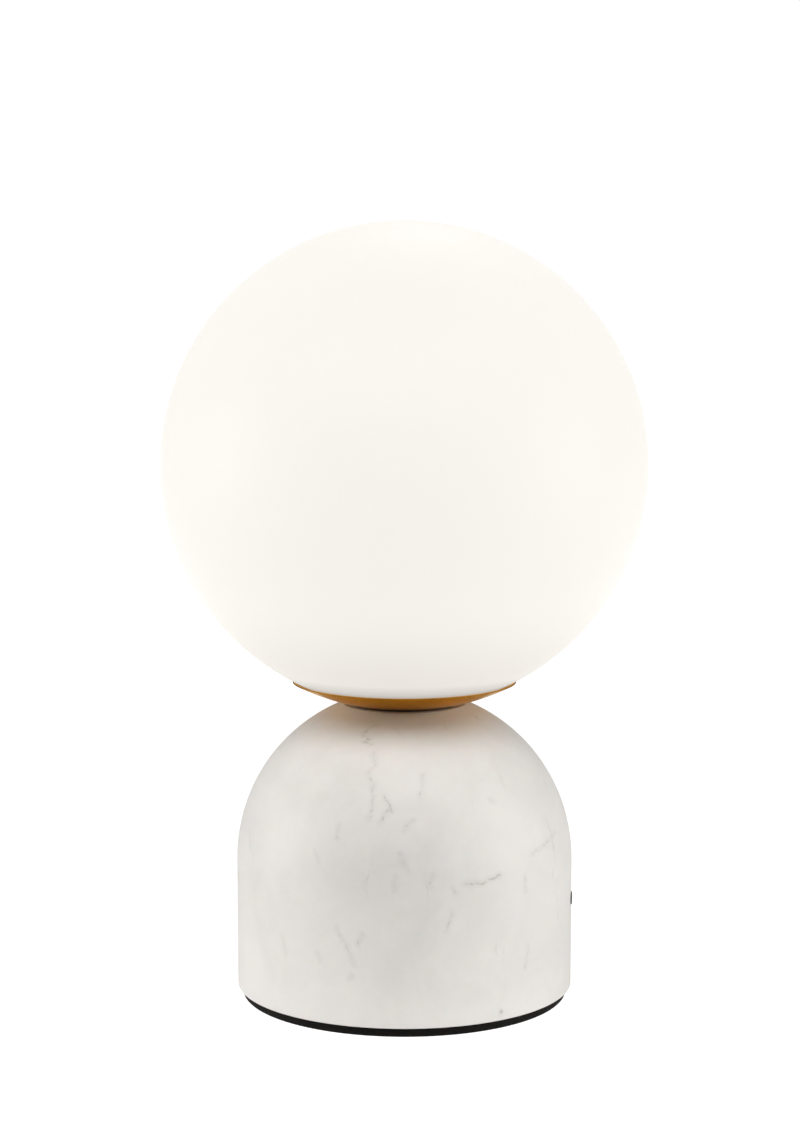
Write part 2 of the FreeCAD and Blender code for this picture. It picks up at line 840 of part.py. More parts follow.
def switch_bush():
    """The threaded bush with its square flange in front of the case."""
    half = switch_size / 2
    flange = block(
        at(switch_front, -half, button_height - half),
        at(bracket_back, half, button_height + half),
    )
    bush = flange.fuse(rod(bush_radius, at(bracket_back, 0, button_height), X, bush_length))
    bore = rod(
        plunger_radius + guide_clearance, at(switch_front, 0, button_height), X,
        bush_flange_thickness + bush_length,
    )
    return bush.cut(bore)


def switch_nut():
    """The nut that holds the switch to its bracket."""
    start = at(bracket_front, 0, button_height)
    return hex_nut(switch_nut_width, bush_radius + thread_clearance, start, X, switch_nut_height)


def switch_terminals():
    """Two flat blades at the back of the case."""
    return [blade_slot(side, 0) for side in (-1, 1)]


def switch_bracket():
    """An angle of sheet steel that stands on the cover plate."""
    middle = bracket_thickness / 2
    bracket = bent_strip(
        [
            (bracket_back - bracket_foot, plate_top + middle),
            (bracket_back + middle, plate_top + middle),
            (bracket_back + middle, button_height + bracket_margin),
        ],
        bracket_thickness,
        bracket_width,
    )
    bush_hole = rod(bush_radius + thread_clearance, at(bracket_back, 0, button_height), X, bracket_thickness)
    bracket = bracket.cut(bush_hole)
    for point in plate_screw_points():
        bracket = bracket.cut(rod(rivet_radius + thread_clearance, point, Z, bracket_thickness))
    return bracket


def bracket_rivets():
    """Rivets through foot and plate, flush with the plate's underside."""
    rivets = []
    for point in plate_screw_points():
        shank = rod(rivet_radius, point - Z * plate_thickness, Z, plate_thickness + bracket_thickness)
        head = rod(rivet_head_radius, point + Z * bracket_thickness, Z, rivet_head_height)
        rivets.append(shank.fuse(head))
    return rivets


# --- Terminal block and wires ---------------------------------------------------------------------

def pole_x(index):
    """Place of a pole along the block."""
    return block_x + (index - (pole_count - 1) / 2) * pole_pitch


def clamp_screw_points():
    """Centres of the clamping screws at the level of their clamps."""
    return [
        at(pole_x(index), block_y + side * clamp_screw_offset, clamp_level)
        for index in range(pole_count)
        for side in (-1, 1)
    ]


def terminal_block():
    """The plastic block, with a bore for each clamp and a shaft for each screw."""
    body = block(
        at(block_x - block_half_length, block_front, plate_top),
        at(block_x + block_half_length, block_front + block_width, plate_top + block_height),
    )
    for index in range(pole_count):
        start = at(pole_x(index), block_front, clamp_level)
        body = body.cut(rod(clamp_radius + thread_clearance, start, Y, block_width))
    for point in clamp_screw_points():
        body = body.cut(rod(clamp_screw_radius + thread_clearance, point, Z, block_height))
    screw_axis = at(block_x + pole_pitch / 2, block_y, plate_top)
    body = body.cut(rod(block_screw_radius + thread_clearance, screw_axis, Z, block_height))
    head_seat = screw_axis + Z * (block_height - block_screw_head_height)
    return body.cut(rod(block_screw_head_radius + thread_clearance, head_seat, Z, block_screw_head_height))


def terminal_clamps():
    """Brass sleeves that hold the wires' ends."""
    clamps = []
    for index in range(pole_count):
        start = at(pole_x(index), block_y - clamp_length / 2, clamp_level)
        clamps.append(tube(clamp_radius, clamp_bore_radius, start, Y, clamp_length))
    screw_holes = [
        rod(clamp_screw_radius + thread_clearance, point, Z, block_height) for point in clamp_screw_points()
    ]
    return [clamp.cut(Part.makeCompound(screw_holes)) for clamp in clamps]


def clamp_screws():
    """Grub screws that reach down to the wires."""
    screws = []
    for point in clamp_screw_points():
        tip = point + Z * wire_radius
        top = plate_top + block_height
        shank = rod(clamp_screw_radius, tip, Z, top - tip.z)
        slot = block(
            at(tip.x - clamp_screw_radius, tip.y - slot_width / 2, top - slot_depth),
            at(tip.x + clamp_screw_radius, tip.y + slot_width / 2, top),
        )
        screws.append(shank.cut(slot))
    return screws


def block_screw():
    """The screw that holds the block to the cover plate."""
    seat = at(block_x + pole_pitch / 2, block_y, plate_top + block_height - block_screw_head_height)
    return slotted_screw(
        block_screw_radius, block_screw_head_radius, block_screw_head_height,
        seat, Z * -1, seat.z - base_bottom,
    )


def clamp_mouth(index):
    """Start of a wire: inside its clamp, on the clamp's axis."""
    return at(pole_x(index), block_y - clamp_length / 4, clamp_level)


def wire_to_contact(side):
    """The last points of a wire: up through the tube and out to a contact's foot."""
    return [
        at(side * wire_spread, 0, tube_bottom - wire_drop),
        at(side * wire_spread, 0, tube_top + wire_exit_rise),
        at(side * pin_x, 0, pocket_bottom - wire_last_run),
        at(side * pin_x, 0, pocket_bottom),
    ]


def neutral_wire():
    """From the block's right clamp up to the left contact."""
    start = clamp_mouth(2)
    out = block_front - neutral_block_gap
    return swept(wire_path([
        start,
        at(start.x, out, clamp_level),
        at(start.x + neutral_shift, out, clamp_level + neutral_rise),
    ] + wire_to_contact(-1)), wire_radius)


def live_wire():
    """From the block's middle clamp to the switch's front blade."""
    start = clamp_mouth(1)
    blade_y = -blade_spacing / 2
    low_x = blade_back - live_low_blade_gap
    high_x = blade_back - live_high_blade_gap
    return swept(wire_path([
        start,
        at(start.x, block_front - live_block_gap, clamp_level),
        at(low_x, block_front - live_low_block_gap, clamp_level + live_low_rise),
        at(high_x, blade_y - live_high_side, button_height - live_high_drop),
        at(blade_back - live_blade_run, blade_y, button_height),
        at(blade_back, blade_y, button_height),
    ]), wire_radius)


def switched_wire():
    """From the switch's rear blade up to the right contact."""
    blade_y = blade_spacing / 2
    return swept(wire_path([
        at(blade_back, blade_y, button_height),
        at(blade_back - switched_blade_run, blade_y, button_height),
    ] + wire_to_contact(1)), wire_radius)


def earth_wire():
    """From the block's left clamp round the front to the earth lug."""
    start = clamp_mouth(0)
    front = block_front - earth_front_gap
    lug_y = wire_radius - lug_tail_end
    return swept(wire_path([
        start,
        at(start.x, block_front - earth_block_gap, clamp_level),
        at(start.x + earth_low_shift, front, clamp_level + earth_low_rise),
        at(start.x + earth_high_shift, front, clamp_level + earth_high_rise),
        at(0, lug_y, lower_nut_top - earth_lug_run),
        at(0, lug_y, lower_nut_top),
    ]), wire_radius)


# --- One file per node ----------------------------------------------------------------------------

PIECES = [
    glass_globe, brass_dish, seat_washer, cushion_ring, spring_carrier, spring_arms, arm_rivets,
    marble_base, base_pad, cover_plate, cover_screws, threaded_inserts, cord_bush,
    tie_tube, lower_washer, earth_lug, lower_nut, upper_nut, holder_locknut,
    lampholder_cup, lampholder_core, holder_contacts, holder_screws,
    lamp_base, lamp_pins, lamp_cover, lamp_board,
    button_cap, button_sleeve, switch_plunger, button_spring, switch_body, switch_bush, switch_nut,
    switch_terminals, switch_bracket, bracket_rivets,
    terminal_block, terminal_clamps, clamp_screws, block_screw,
    live_wire, neutral_wire, switched_wire, earth_wire,
]

os.makedirs("parts", exist_ok=True)
for piece in PIECES:
    made = piece()
    shape = Part.makeCompound(made) if isinstance(made, list) else made
    shape.exportStep("parts/" + piece.__name__ + ".step")
    solids = len(shape.Solids)
    print(f"{piece.__name__}: {solids} solid(s), {shape.Volume:.1f} mm3, valid {shape.isValid()}")
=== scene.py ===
import bmesh
import bpy
import json
import math
import numpy as np
from bpy.props import FloatProperty, FloatVectorProperty, IntProperty, PointerProperty
from bpy.types import Operator, Panel, PropertyGroup
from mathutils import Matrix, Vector, noise


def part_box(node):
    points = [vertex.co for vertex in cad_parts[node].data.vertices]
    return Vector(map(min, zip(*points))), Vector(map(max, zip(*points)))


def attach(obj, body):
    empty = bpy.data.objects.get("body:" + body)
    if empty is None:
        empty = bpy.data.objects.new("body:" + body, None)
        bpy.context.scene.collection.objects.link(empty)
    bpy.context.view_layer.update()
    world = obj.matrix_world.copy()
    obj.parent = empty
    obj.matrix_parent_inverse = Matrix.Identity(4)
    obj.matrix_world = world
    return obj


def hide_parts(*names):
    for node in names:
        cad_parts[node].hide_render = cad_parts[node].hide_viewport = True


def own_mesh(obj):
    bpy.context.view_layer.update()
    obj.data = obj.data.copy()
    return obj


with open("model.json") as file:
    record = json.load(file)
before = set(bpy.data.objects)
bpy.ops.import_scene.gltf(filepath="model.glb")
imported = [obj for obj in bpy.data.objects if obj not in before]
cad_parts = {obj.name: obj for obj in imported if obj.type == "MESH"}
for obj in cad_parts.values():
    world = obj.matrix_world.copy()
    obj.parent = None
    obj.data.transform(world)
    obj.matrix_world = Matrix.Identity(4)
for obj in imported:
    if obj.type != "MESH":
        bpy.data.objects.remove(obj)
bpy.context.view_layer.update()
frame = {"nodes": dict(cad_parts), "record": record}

bl_info = {
    "name": "Glass globe table lamp",
    "version": (1, 0, 0),
    "blender": (4, 5, 0),
    "location": "3D View > Sidebar > Lamp",
    "description": "Models an opal globe in a brass dish on a domed marble base, in a plain studio",
    "category": "Object",
}

# Metres throughout: +Z up, front -Y, right +X, the origin in the middle of the lamp's underside.

MM = 0.001
SEAM_GAP = 0.002 * MM       # a spun piece's points nearer than this are made one
FLANGE = 2 * MM             # thickness of the cord bush's flange

GLOBE_LOW, GLOBE_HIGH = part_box("glass_globe")
DISH_LOW, DISH_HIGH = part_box("brass_dish")
STONE_LOW, STONE_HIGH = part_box("marble_base")
PAD_LOW, PAD_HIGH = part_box("base_pad")
BUTTON_LOW, BUTTON_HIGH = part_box("button_cap")
BUSH_LOW, BUSH_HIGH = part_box("cord_bush")
CUSHION_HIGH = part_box("cushion_ring")[1]
TUBE_LOW, TUBE_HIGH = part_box("tie_tube")
CUP_LOW, CUP_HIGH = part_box("lampholder_cup")
FOOT_LOW, FOOT_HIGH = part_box("lamp_base")
COVER_LOW, COVER_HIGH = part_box("lamp_cover")
BOARD_LOW, BOARD_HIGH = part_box("lamp_board")
CARRIER_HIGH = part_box("spring_carrier")[1]
PLATE_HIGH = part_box("cover_plate")[1]
SPRING_LOW, SPRING_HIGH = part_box("button_spring")


def metres(name, description, default):
    """A size in metres that a user can change."""
    return FloatProperty(name=name, description=description, default=default, unit="LENGTH")


def rgb(name, description, default):
    """A colour that a user can change."""
    return FloatVectorProperty(
        name=name, description=description, subtype="COLOR", size=3, default=default, min=0, max=1)


class GlobeSettings(PropertyGroup):
    radius: metres("Radius", "Outer radius of the glass ball", 0.1)
    wall: metres("Wall", "Thickness of the glass", 0.0025)
    opening: metres("Opening", "Radius of the cut edge under the ball", 0.04)
    arris: metres("Arris", "Softened edges of the ground face", 0.0004)
    glass: rgb("Glass", "Colour of the opal glass", (0.16, 0.158, 0.153))


class DishSettings(PropertyGroup):
    rim_radius: metres("Rim radius", "Outer radius of the dish's rim", 0.047)
    wall: metres("Wall", "Thickness of the brass", 0.0008)
    glass_gap: metres("Glass gap", "Air between brass and glass", 0.0003)
    hole_radius: metres("Hole radius", "Hole for the tie tube", 0.00525)
    rim_round: metres("Rim rounding", "Radius of the rim's two edges", 0.00025)
    brass: rgb("Brass", "Colour of the polished brass", (0.76, 0.40, 0.075))


class StoneSettings(PropertyGroup):
    radius: metres("Radius", "Radius of the drum and its dome", 0.07)
    dome_start: metres("Dome start", "Level where the drum turns into the dome", 0.0575)
    seat_radius: metres("Seat radius", "Radius of the flat seat on top", 0.0255)
    arris: metres("Arris", "Softened edges of the stone", 0.0006)
    cavity_radius: metres("Cavity radius", "Radius of the hollow inside", 0.047)
    cavity_top: metres("Cavity top", "Level of the hollow's ceiling", 0.08499)
    cavity_corner: metres("Cavity corner", "Radius round the hollow's ceiling", 0.006)
    rebate_radius: metres("Rebate radius", "Radius of the cover plate's rebate", 0.0586)
    rebate_top: metres("Rebate top", "Level of the cover plate's seat", 0.006)
    button_level: metres("Button level", "Level of the push button's axis", 0.0412)
    cord_level: metres("Cord level", "Level of the cord entry's axis", 0.018)
    ring_spacing: metres("Ring spacing", "Distance between the mesh's rings", 0.0013)
    stone: rgb("Stone", "Ground colour of the marble", (0.80, 0.785, 0.765))
    vein: rgb("Vein", "Colour of the marble's veins", (0.40, 0.385, 0.365))


class FittingSettings(PropertyGroup):
    thread_pitch: metres("Thread pitch", "Distance between two turns of the tie tube's thread", 0.001)
    thread_depth: metres("Thread depth", "Depth of the tie tube's thread", 0.00045)
    arm_count: IntProperty(
        name="Leaf arms", description="Number of leaf arms that hold the globe", default=3, min=1, max=6)
    arm_width: metres("Arm width", "Width of a leaf arm", 0.008)
    arm_thickness: metres("Arm thickness", "Thickness of a leaf arm", 0.0006)
    spring_turns: IntProperty(
        name="Spring turns", description="Turns of the button's return spring", default=6, min=2, max=12)
    chip_rows: IntProperty(
        name="Chip rows", description="Rows of light chips on the lamp's board", default=9, min=1, max=12)


class StudioSettings(PropertyGroup):
    camera_distance: metres("Camera distance", "Level distance from the lamp's axis", 1.0441)
    camera_height: metres("Camera height", "Height of the camera", 0.30505)
    camera_side: FloatProperty(
        name="Camera side", description="Angle of the camera to the right of the front",
        default=math.radians(6.0), subtype="ANGLE")
    camera_tilt: FloatProperty(
        name="Camera tilt", description="Angle that the camera looks down by",
        default=math.radians(6.92), subtype="ANGLE")
    camera_turn: FloatProperty(
        name="Camera turn", description="Turn of the camera to the left of the lamp's axis",
        default=math.radians(0.101), subtype="ANGLE")
    lens: FloatProperty(
        name="Lens", description="Focal length in millimetres", default=80.34, min=1)
    fill: FloatProperty(
        name="Fill", description="Brightness of the even light from all round", default=0.20, min=0)
    power: FloatProperty(
        name="Softboxes", description="Strength of the softboxes", default=1.0, min=0)
    floor_glow: FloatProperty(
        name="Floor glow", description="Light that the white floor adds to what falls on it",
        default=0.93, min=0)


# --- Modelling ---

def deselect():
    """Object mode, with nothing selected."""
    if bpy.context.object and bpy.context.object.mode != "OBJECT":
        bpy.ops.object.mode_set(mode="OBJECT")
    bpy.ops.object.select_all(action="DESELECT")


def pick(*pieces):
    """Selects these pieces alone, the first one active."""
    deselect()
    for piece in pieces:
        piece.select_set(True)
    bpy.context.view_layer.objects.active = pieces[0]


def edit(piece):
    """Edit mode on one piece, with all of it selected."""
    pick(piece)
    bpy.ops.object.mode_set(mode="EDIT")
    bpy.ops.mesh.select_all(action="SELECT")


def face_outwards():
    """Turns the edited piece's faces outwards and goes back to object mode."""
    bpy.ops.mesh.select_all(action="SELECT")
    bpy.ops.mesh.normals_make_consistent(inside=False)
    bpy.ops.object.mode_set(mode="OBJECT")


def choose_edges(piece, wanted):
    """Selects the edges of the edited piece that pass a test."""
    bpy.ops.mesh.select_all(action="DESELECT")
    mesh = bmesh.from_edit_mesh(piece.data)
    for edge in mesh.edges:
        if wanted(edge):
            edge.select_set(True)
    bmesh.update_edit_mesh(piece.data)


def settle(piece, name):
    """Names a piece and puts its place into its mesh."""
    piece.name = name
    piece.data.name = name
    pick(piece)
    bpy.ops.object.transform_apply(location=True, rotation=True, scale=True)
    return piece


def spin_outline(name, outline, steps, centre=(0, 0, 0), axis="Z"):
    """Draws an outline of (radius, place along the axis) points and spins it round the axis.
    An outline that keeps off the axis is closed on itself."""
    centre = Vector(centre)
    along = {"X": Vector((1, 0, 0)), "Y": Vector((0, 1, 0)), "Z": Vector((0, 0, 1))}[axis]
    out = Vector((1, 0, 0)) if axis == "Z" else Vector((0, 0, 1))
    if outline[0][0] > 0:
        outline = outline + outline[:1]
    places = [centre + out * radius + along * place for radius, place in outline]
    deselect()
    bpy.ops.mesh.primitive_plane_add(size=0.001, location=places[0])
    piece = settle(bpy.context.object, name)
    edit(piece)
    bpy.ops.mesh.merge(type="CENTER")
    for before, after in zip(places, places[1:]):
        bpy.ops.mesh.extrude_vertices_move(TRANSFORM_OT_translate={"value": after - before})
    bpy.ops.mesh.select_all(action="SELECT")
    bpy.ops.mesh.spin(steps=steps, angle=2 * math.pi, center=centre, axis=along)
    bpy.ops.mesh.select_all(action="SELECT")
    bpy.ops.mesh.remove_doubles(threshold=SEAM_GAP)
    face_outwards()
    return piece


def arc(centre, radius, start, end, steps):
    """Points of an arc in an outline, by angles in degrees from the radial direction."""
    points = []
    for step in range(steps + 1):
        angle = math.radians(start + (end - start) * step / steps)
        out = centre[0] + radius * math.cos(angle)
        points.append((out if out > 1e-9 else 0, centre[1] + radius * math.sin(angle)))
    return points


def eased(outline, radii, steps=4, closed=True):
    """The outline with its corners rounded. radii gives corners by their index, and each its radius in mm."""
    made = []
    count = len(outline)
    for index, corner in enumerate(outline):
        radius = radii.get(index, 0) * MM
        if radius == 0 or (not closed and index in (0, count - 1)):
            made.append(corner)
            continue
        here = Vector(corner)
        into = (Vector(outline[index - 1]) - here).normalized()
        out = (Vector(outline[(index + 1) % count]) - here).normalized()
        half = into.angle(out) / 2
        setback = radius / math.tan(half)
        centre = here + (into + out).normalized() * (radius / math.sin(half))
        first = here + into * setback - centre
        turn = first.angle_signed(here + out * setback - centre)
        for step in range(steps + 1):
            angle = -turn * step / steps
            made.append((
                centre.x + first.x * math.cos(angle) - first.y * math.sin(angle),
                centre.y + first.x * math.sin(angle) + first.y * math.cos(angle),
            ))
    return made


def apply_modifier(piece, name, kind, **settings):
    """Adds one modifier and applies it."""
    pick(piece)
    modifier = piece.modifiers.new(name, kind)
    for key, value in settings.items():
        setattr(modifier, key, value)
    bpy.ops.object.modifier_apply(modifier=name)


def bore(piece, radius, start, end, mouth_radius=None):
    """Cuts a round or tapered hole between two points."""
    start = Vector(start)
    end = Vector(end)
    deselect()
    bpy.ops.mesh.primitive_cone_add(
        vertices=96, radius1=radius, radius2=mouth_radius or radius, depth=(end - start).length,
        location=(start + end) / 2, rotation=(end - start).to_track_quat("Z", "Y").to_euler())
    cutter = settle(bpy.context.object, "cutter")
    apply_modifier(piece, "hole", "BOOLEAN", object=cutter, operation="DIFFERENCE", solver="EXACT")
    bpy.data.objects.remove(cutter)


def soft_block(name, low, high, edge):
    """A block between two corners, with rounded edges."""
    low = Vector(low)
    high = Vector(high)
    deselect()
    bpy.ops.mesh.primitive_cube_add(size=1, location=(low + high) / 2, scale=high - low)
    piece = settle(bpy.context.object, name)
    edit(piece)
    bpy.ops.mesh.bevel(offset=edge, segments=3, affect="EDGES")
    bpy.ops.object.mode_set(mode="OBJECT")
    return piece


def join(name, pieces):
    """Several meshes as one piece."""
    pick(*pieces)
    if len(pieces) > 1:
        bpy.ops.object.join()
    piece = bpy.context.object
    piece.name = name
    piece.data.name = name
    return piece


def hand_over(piece, body, slot, node, crisp=30):
    """Shades a piece smooth, with corners sharper than so many degrees kept crisp, gives it its
    finish and its body, and hides the CAD node that it stands for."""
    pick(piece)
    bpy.ops.object.shade_smooth_by_angle(angle=math.radians(crisp))
    if not piece.data.materials:
        piece.data.materials.append(finish(slot))
    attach(piece, body)
    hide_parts(node)


# --- Finishes ---

def add_node(tree, kind, inputs=None, **settings):
    """One node, with its sockets linked or set by name or index."""
    made = tree.nodes.new(kind)
    for key, value in settings.items():
        setattr(made, key, value)
    for key, value in (inputs or {}).items():
        if isinstance(value, bpy.types.NodeSocket):
            tree.links.new(value, made.inputs[key])
        else:
            made.inputs[key].default_value = value
    return made


def new_finish(name, **sockets):
    """A material with its main shader's sockets set."""
    material = bpy.data.materials.new(name)
    material.use_nodes = True
    tree = material.node_tree
    shader = tree.nodes["Principled BSDF"]
    for key, value in sockets.items():
        shader.inputs[key.replace("_", " ")].default_value = value
    return material, tree, shader


def place_on_piece(tree, scale=(1, 1, 1)):
    """Coordinates in metres on the piece, stretched."""
    where = add_node(tree, "ShaderNodeTexCoord").outputs["Object"]
    return add_node(tree, "ShaderNodeMapping", {"Vector": where, "Scale": scale}).outputs["Vector"]


def cloudy(tree, where, scale, detail=3.0, roughness=0.5, distortion=0.0):
    """Soft clouds between 0 and 1."""
    return add_node(tree, "ShaderNodeTexNoise", {
        "Vector": where, "Scale": scale, "Detail": detail, "Roughness": roughness, "Distortion": distortion,
    }).outputs["Fac"]


def between(tree, value, low, high, start=0.0, end=1.0, smooth=False):
    """Value taken from low..high to start..end, held at both ends."""
    return add_node(tree, "ShaderNodeMapRange", {
        "Value": value, "From Min": low, "From Max": high, "To Min": start, "To Max": end,
    }, interpolation_type="SMOOTHSTEP" if smooth else "LINEAR").outputs["Result"]


def maths(tree, operation, *values):
    """One sum, product or the like."""
    return add_node(tree, "ShaderNodeMath", dict(enumerate(values)), operation=operation).outputs[0]


def blend_colours(tree, share, first, second):
    """First turns into second as share goes from 0 to 1."""
    made = add_node(tree, "ShaderNodeMix", {"Factor": share}, data_type="RGBA")
    for socket, colour in zip([s for s in made.inputs if s.type == "RGBA"], (first, second)):
        if isinstance(colour, bpy.types.NodeSocket):
            tree.links.new(colour, socket)
        else:
            socket.default_value = (*colour[:3], 1)
    return [s for s in made.outputs if s.type == "RGBA"][0]


def relief(tree, height, distance, strength=1.0, under=None):
    """Bumps of this height in metres."""
    inputs = {"Height": height, "Distance": distance, "Strength": strength}
    if under:
        inputs["Normal"] = under
    return add_node(tree, "ShaderNodeBump", inputs).outputs["Normal"]


def radial(tree):
    """Distance from the lamp's axis."""
    where = add_node(tree, "ShaderNodeTexCoord").outputs["Object"]
    flat = add_node(tree, "ShaderNodeVectorMath", {0: where, 1: (1, 1, 0)}, operation="MULTIPLY").outputs[0]
    return add_node(tree, "ShaderNodeVectorMath", {0: flat}, operation="LENGTH").outputs["Value"]


def wire_up(tree, shader, tint, roughness, normal):
    """Links a finish's colour, roughness and bumps to its shader."""
    for name, value in (("Base Color", tint), ("Roughness", roughness), ("Normal", normal)):
        tree.links.new(value, shader.inputs[name])


def shade(colour, factor):
    """The colour made lighter or darker."""
    return tuple(min(1.0, channel * factor) for channel in colour[:3])


def opal_glass():
    """Satin opal glass: milky, with the faint cloudiness of blown glass. A painted glow keeps it even,
    with painted shade towards its bottom and at the dish's rim.
    """
    colour = bpy.context.scene.lamp_globe.glass
    material, tree, shader = new_finish(
        "satin opal glass", IOR=1.32, Subsurface_Weight=0.5, Subsurface_Scale=0.006)
    shader.inputs["Subsurface Radius"].default_value = (1.0, 0.9, 0.8)
    painted_glow_even_from = 0.175
    where = place_on_piece(tree)
    level = add_node(tree, "ShaderNodeSeparateXYZ", {"Vector": where}).outputs["Z"]
    # Painted shade: the glow fades to a darker colour towards the bottom and to a dim one at the dish's rim.
    painted_bottom_shade_fade = between(tree, level, GLOBE_LOW.z, painted_glow_even_from, smooth=True)
    clear_of_painted_rim_shade = between(tree, level, DISH_HIGH.z - 2 * MM, DISH_HIGH.z + 6 * MM)
    glow = blend_colours(tree, painted_bottom_shade_fade, (0.84, 0.80, 0.745), (1.0, 0.972, 0.92))
    glow = blend_colours(tree, clear_of_painted_rim_shade, shade(colour, 2.9), glow)
    # Painted light: the glass glows though nothing inside it is lit, which keeps it evenly bright.
    tree.links.new(glow, shader.inputs["Emission Color"])
    shader.inputs["Emission Strength"].default_value = 0.815
    clouds = cloudy(tree, where, 14, 3, 0.55)
    tint = blend_colours(tree, between(tree, clouds, 0.3, 0.7), shade(colour, 1.01), shade(colour, 0.975))
    grain = cloudy(tree, where, 2600, 2, 0.6)
    ripple = cloudy(tree, where, 26, 2, 0.5)
    normal = relief(tree, ripple, 0.12 * MM, 0.5)
    wire_up(tree, shader, tint, between(tree, grain, 0.3, 0.7, 0.48, 0.58),
            relief(tree, grain, 0.004 * MM, 0.6, normal))
    return material


def polished_brass():
    """Spun brass: fine turning lines, a little tarnish in clouds, and painted shade towards the rim."""
    settings = bpy.context.scene.lamp_dish
    colour = settings.brass
    material, tree, shader = new_finish("spun brass", Metallic=1.0)
    shader.inputs["Specular Tint"].default_value = (1.0, 0.76, 0.42, 1)
    where = place_on_piece(tree)
    out = radial(tree)
    lines = add_node(tree, "ShaderNodeTexNoise", {
        "W": out, "Scale": 5200.0, "Detail": 3.0, "Roughness": 0.65,
    }, noise_dimensions="1D").outputs["Fac"]
    tarnish = cloudy(tree, where, 90, 4, 0.6)
    # Painted shade: the brass darkens over its last 1.5 mm towards the rim, where the glass meets it; the
    # clouds are tarnish.
    edge = between(tree, out, settings.rim_radius - 1.5 * MM, settings.rim_radius, 0.0, 0.55)
    tarnish_and_painted_rim_shade = maths(tree, "ADD", edge, between(tree, tarnish, 0.45, 0.75, 0.0, 0.3))
    tone = blend_colours(tree, between(tree, lines, 0.3, 0.7), shade(colour, 1.04), shade(colour, 0.93))
    tint = blend_colours(tree, tarnish_and_painted_rim_shade, tone, shade(colour, 0.55))
    wire_up(tree, shader, tint, between(tree, lines, 0.25, 0.75, 0.08, 0.17),
            relief(tree, lines, 0.02 * MM, 0.5))
    return material


def honed_marble():
    """White marble with faint grey clouds, thin veins where they show and short streaks all round."""
    settings = bpy.context.scene.lamp_stone
    material, tree, shader = new_finish(
        "honed marble", IOR=1.49, Subsurface_Weight=0.12, Subsurface_Scale=0.002)
    where = place_on_piece(tree)
    upright = place_on_piece(tree, (1, 1, 0.32))
    drawn = add_node(tree, "ShaderNodeAttribute", attribute_name="vein").outputs["Fac"]
    fray = cloudy(tree, where, 650, 5, 0.75)
    drawn = maths(tree, "ADD", drawn, between(tree, fray, 0.25, 0.75, -0.24, 0.24))
    core = between(tree, drawn, 0.78, 1.02, 0.0, 0.55, smooth=True)
    smear = between(tree, drawn, 0.20, 0.95, 0.0, 0.13, smooth=True)
    streaks = cloudy(tree, upright, 120, 5, 0.62, 0.6)
    scatter = cloudy(tree, where, 26, 2, 0.5)
    streaks = maths(tree, "MULTIPLY", between(tree, streaks, 0.60, 0.74, 0.0, 0.22, smooth=True),
                    between(tree, scatter, 0.46, 0.60, 0.0, 1.0, smooth=True))
    clouds = cloudy(tree, where, 22, 5, 0.6, 0.8)
    milky = cloudy(tree, where, 75, 4, 0.6)
    stone = settings.stone
    ground = blend_colours(tree, between(tree, clouds, 0.35, 0.7), shade(stone, 1.03), shade(stone, 0.95))
    ground = blend_colours(tree, between(tree, milky, 0.5, 0.75, 0.0, 0.5), ground, shade(stone, 1.06))
    share = maths(tree, "MAXIMUM", maths(tree, "MAXIMUM", core, smear), streaks)
    tint = blend_colours(tree, share, ground, settings.vein)
    crystals = add_node(tree, "ShaderNodeTexVoronoi", {"Vector": where, "Scale": 1900.0}).outputs["Distance"]
    normal = relief(tree, cloudy(tree, where, 380, 3, 0.6), 0.01 * MM, 0.4)
    wire_up(tree, shader, tint, between(tree, milky, 0.3, 0.7, 0.46, 0.56),
            relief(tree, crystals, 0.004 * MM, 0.3, normal))
    return material


def foam_pad():
    """Black foam rubber with a fine open grain."""
    material, tree, shader = new_finish("black foam rubber", Specular_IOR_Level=0.15)
    where = place_on_piece(tree)
    cells = add_node(tree, "ShaderNodeTexVoronoi", {"Vector": where, "Scale": 2300.0}).outputs["Distance"]
    dust = cloudy(tree, where, 1500, 3, 0.7)
    tint = blend_colours(tree, between(tree, dust, 0.5, 0.8), (0.004, 0.0035, 0.003), (0.02, 0.018, 0.016))
    wire_up(tree, shader, tint, between(tree, dust, 0.3, 0.7, 0.6, 0.85), relief(tree, cells, 0.2 * MM, 0.7))
    return material


def plated_metal(name, colour, gloss, grain=1400):
    """Plated or rolled metal with a light grain and some smudges."""
    material, tree, shader = new_finish(name, Metallic=1.0)
    where = place_on_piece(tree)
    fine = cloudy(tree, where, grain, 3, 0.6)
    smudge = cloudy(tree, where, 160, 3, 0.6)
    tint = blend_colours(tree, between(tree, smudge, 0.35, 0.7), shade(colour, 1.05), shade(colour, 0.86))
    wire_up(tree, shader, tint, between(tree, fine, 0.3, 0.7, gloss - 0.05, gloss + 0.08),
            relief(tree, fine, 0.01 * MM, 0.4))
    return material


def moulded(name, colour, gloss, grain=1800, depth=0.02, clear=0.0):
    """A moulded or pressed material with a fine surface, its depth in mm, and slight changes of tone."""
    material, tree, shader = new_finish(name, Transmission_Weight=clear)
    where = place_on_piece(tree)
    fine = cloudy(tree, where, grain, 3, 0.6)
    tone = cloudy(tree, where, 120, 2, 0.5)
    tint = blend_colours(tree, between(tree, tone, 0.3, 0.7), shade(colour, 1.06), shade(colour, 0.92))
    wire_up(tree, shader, tint, between(tree, fine, 0.3, 0.7, gloss - 0.05, gloss + 0.07),
            relief(tree, fine, depth * MM, 0.5))
    return material


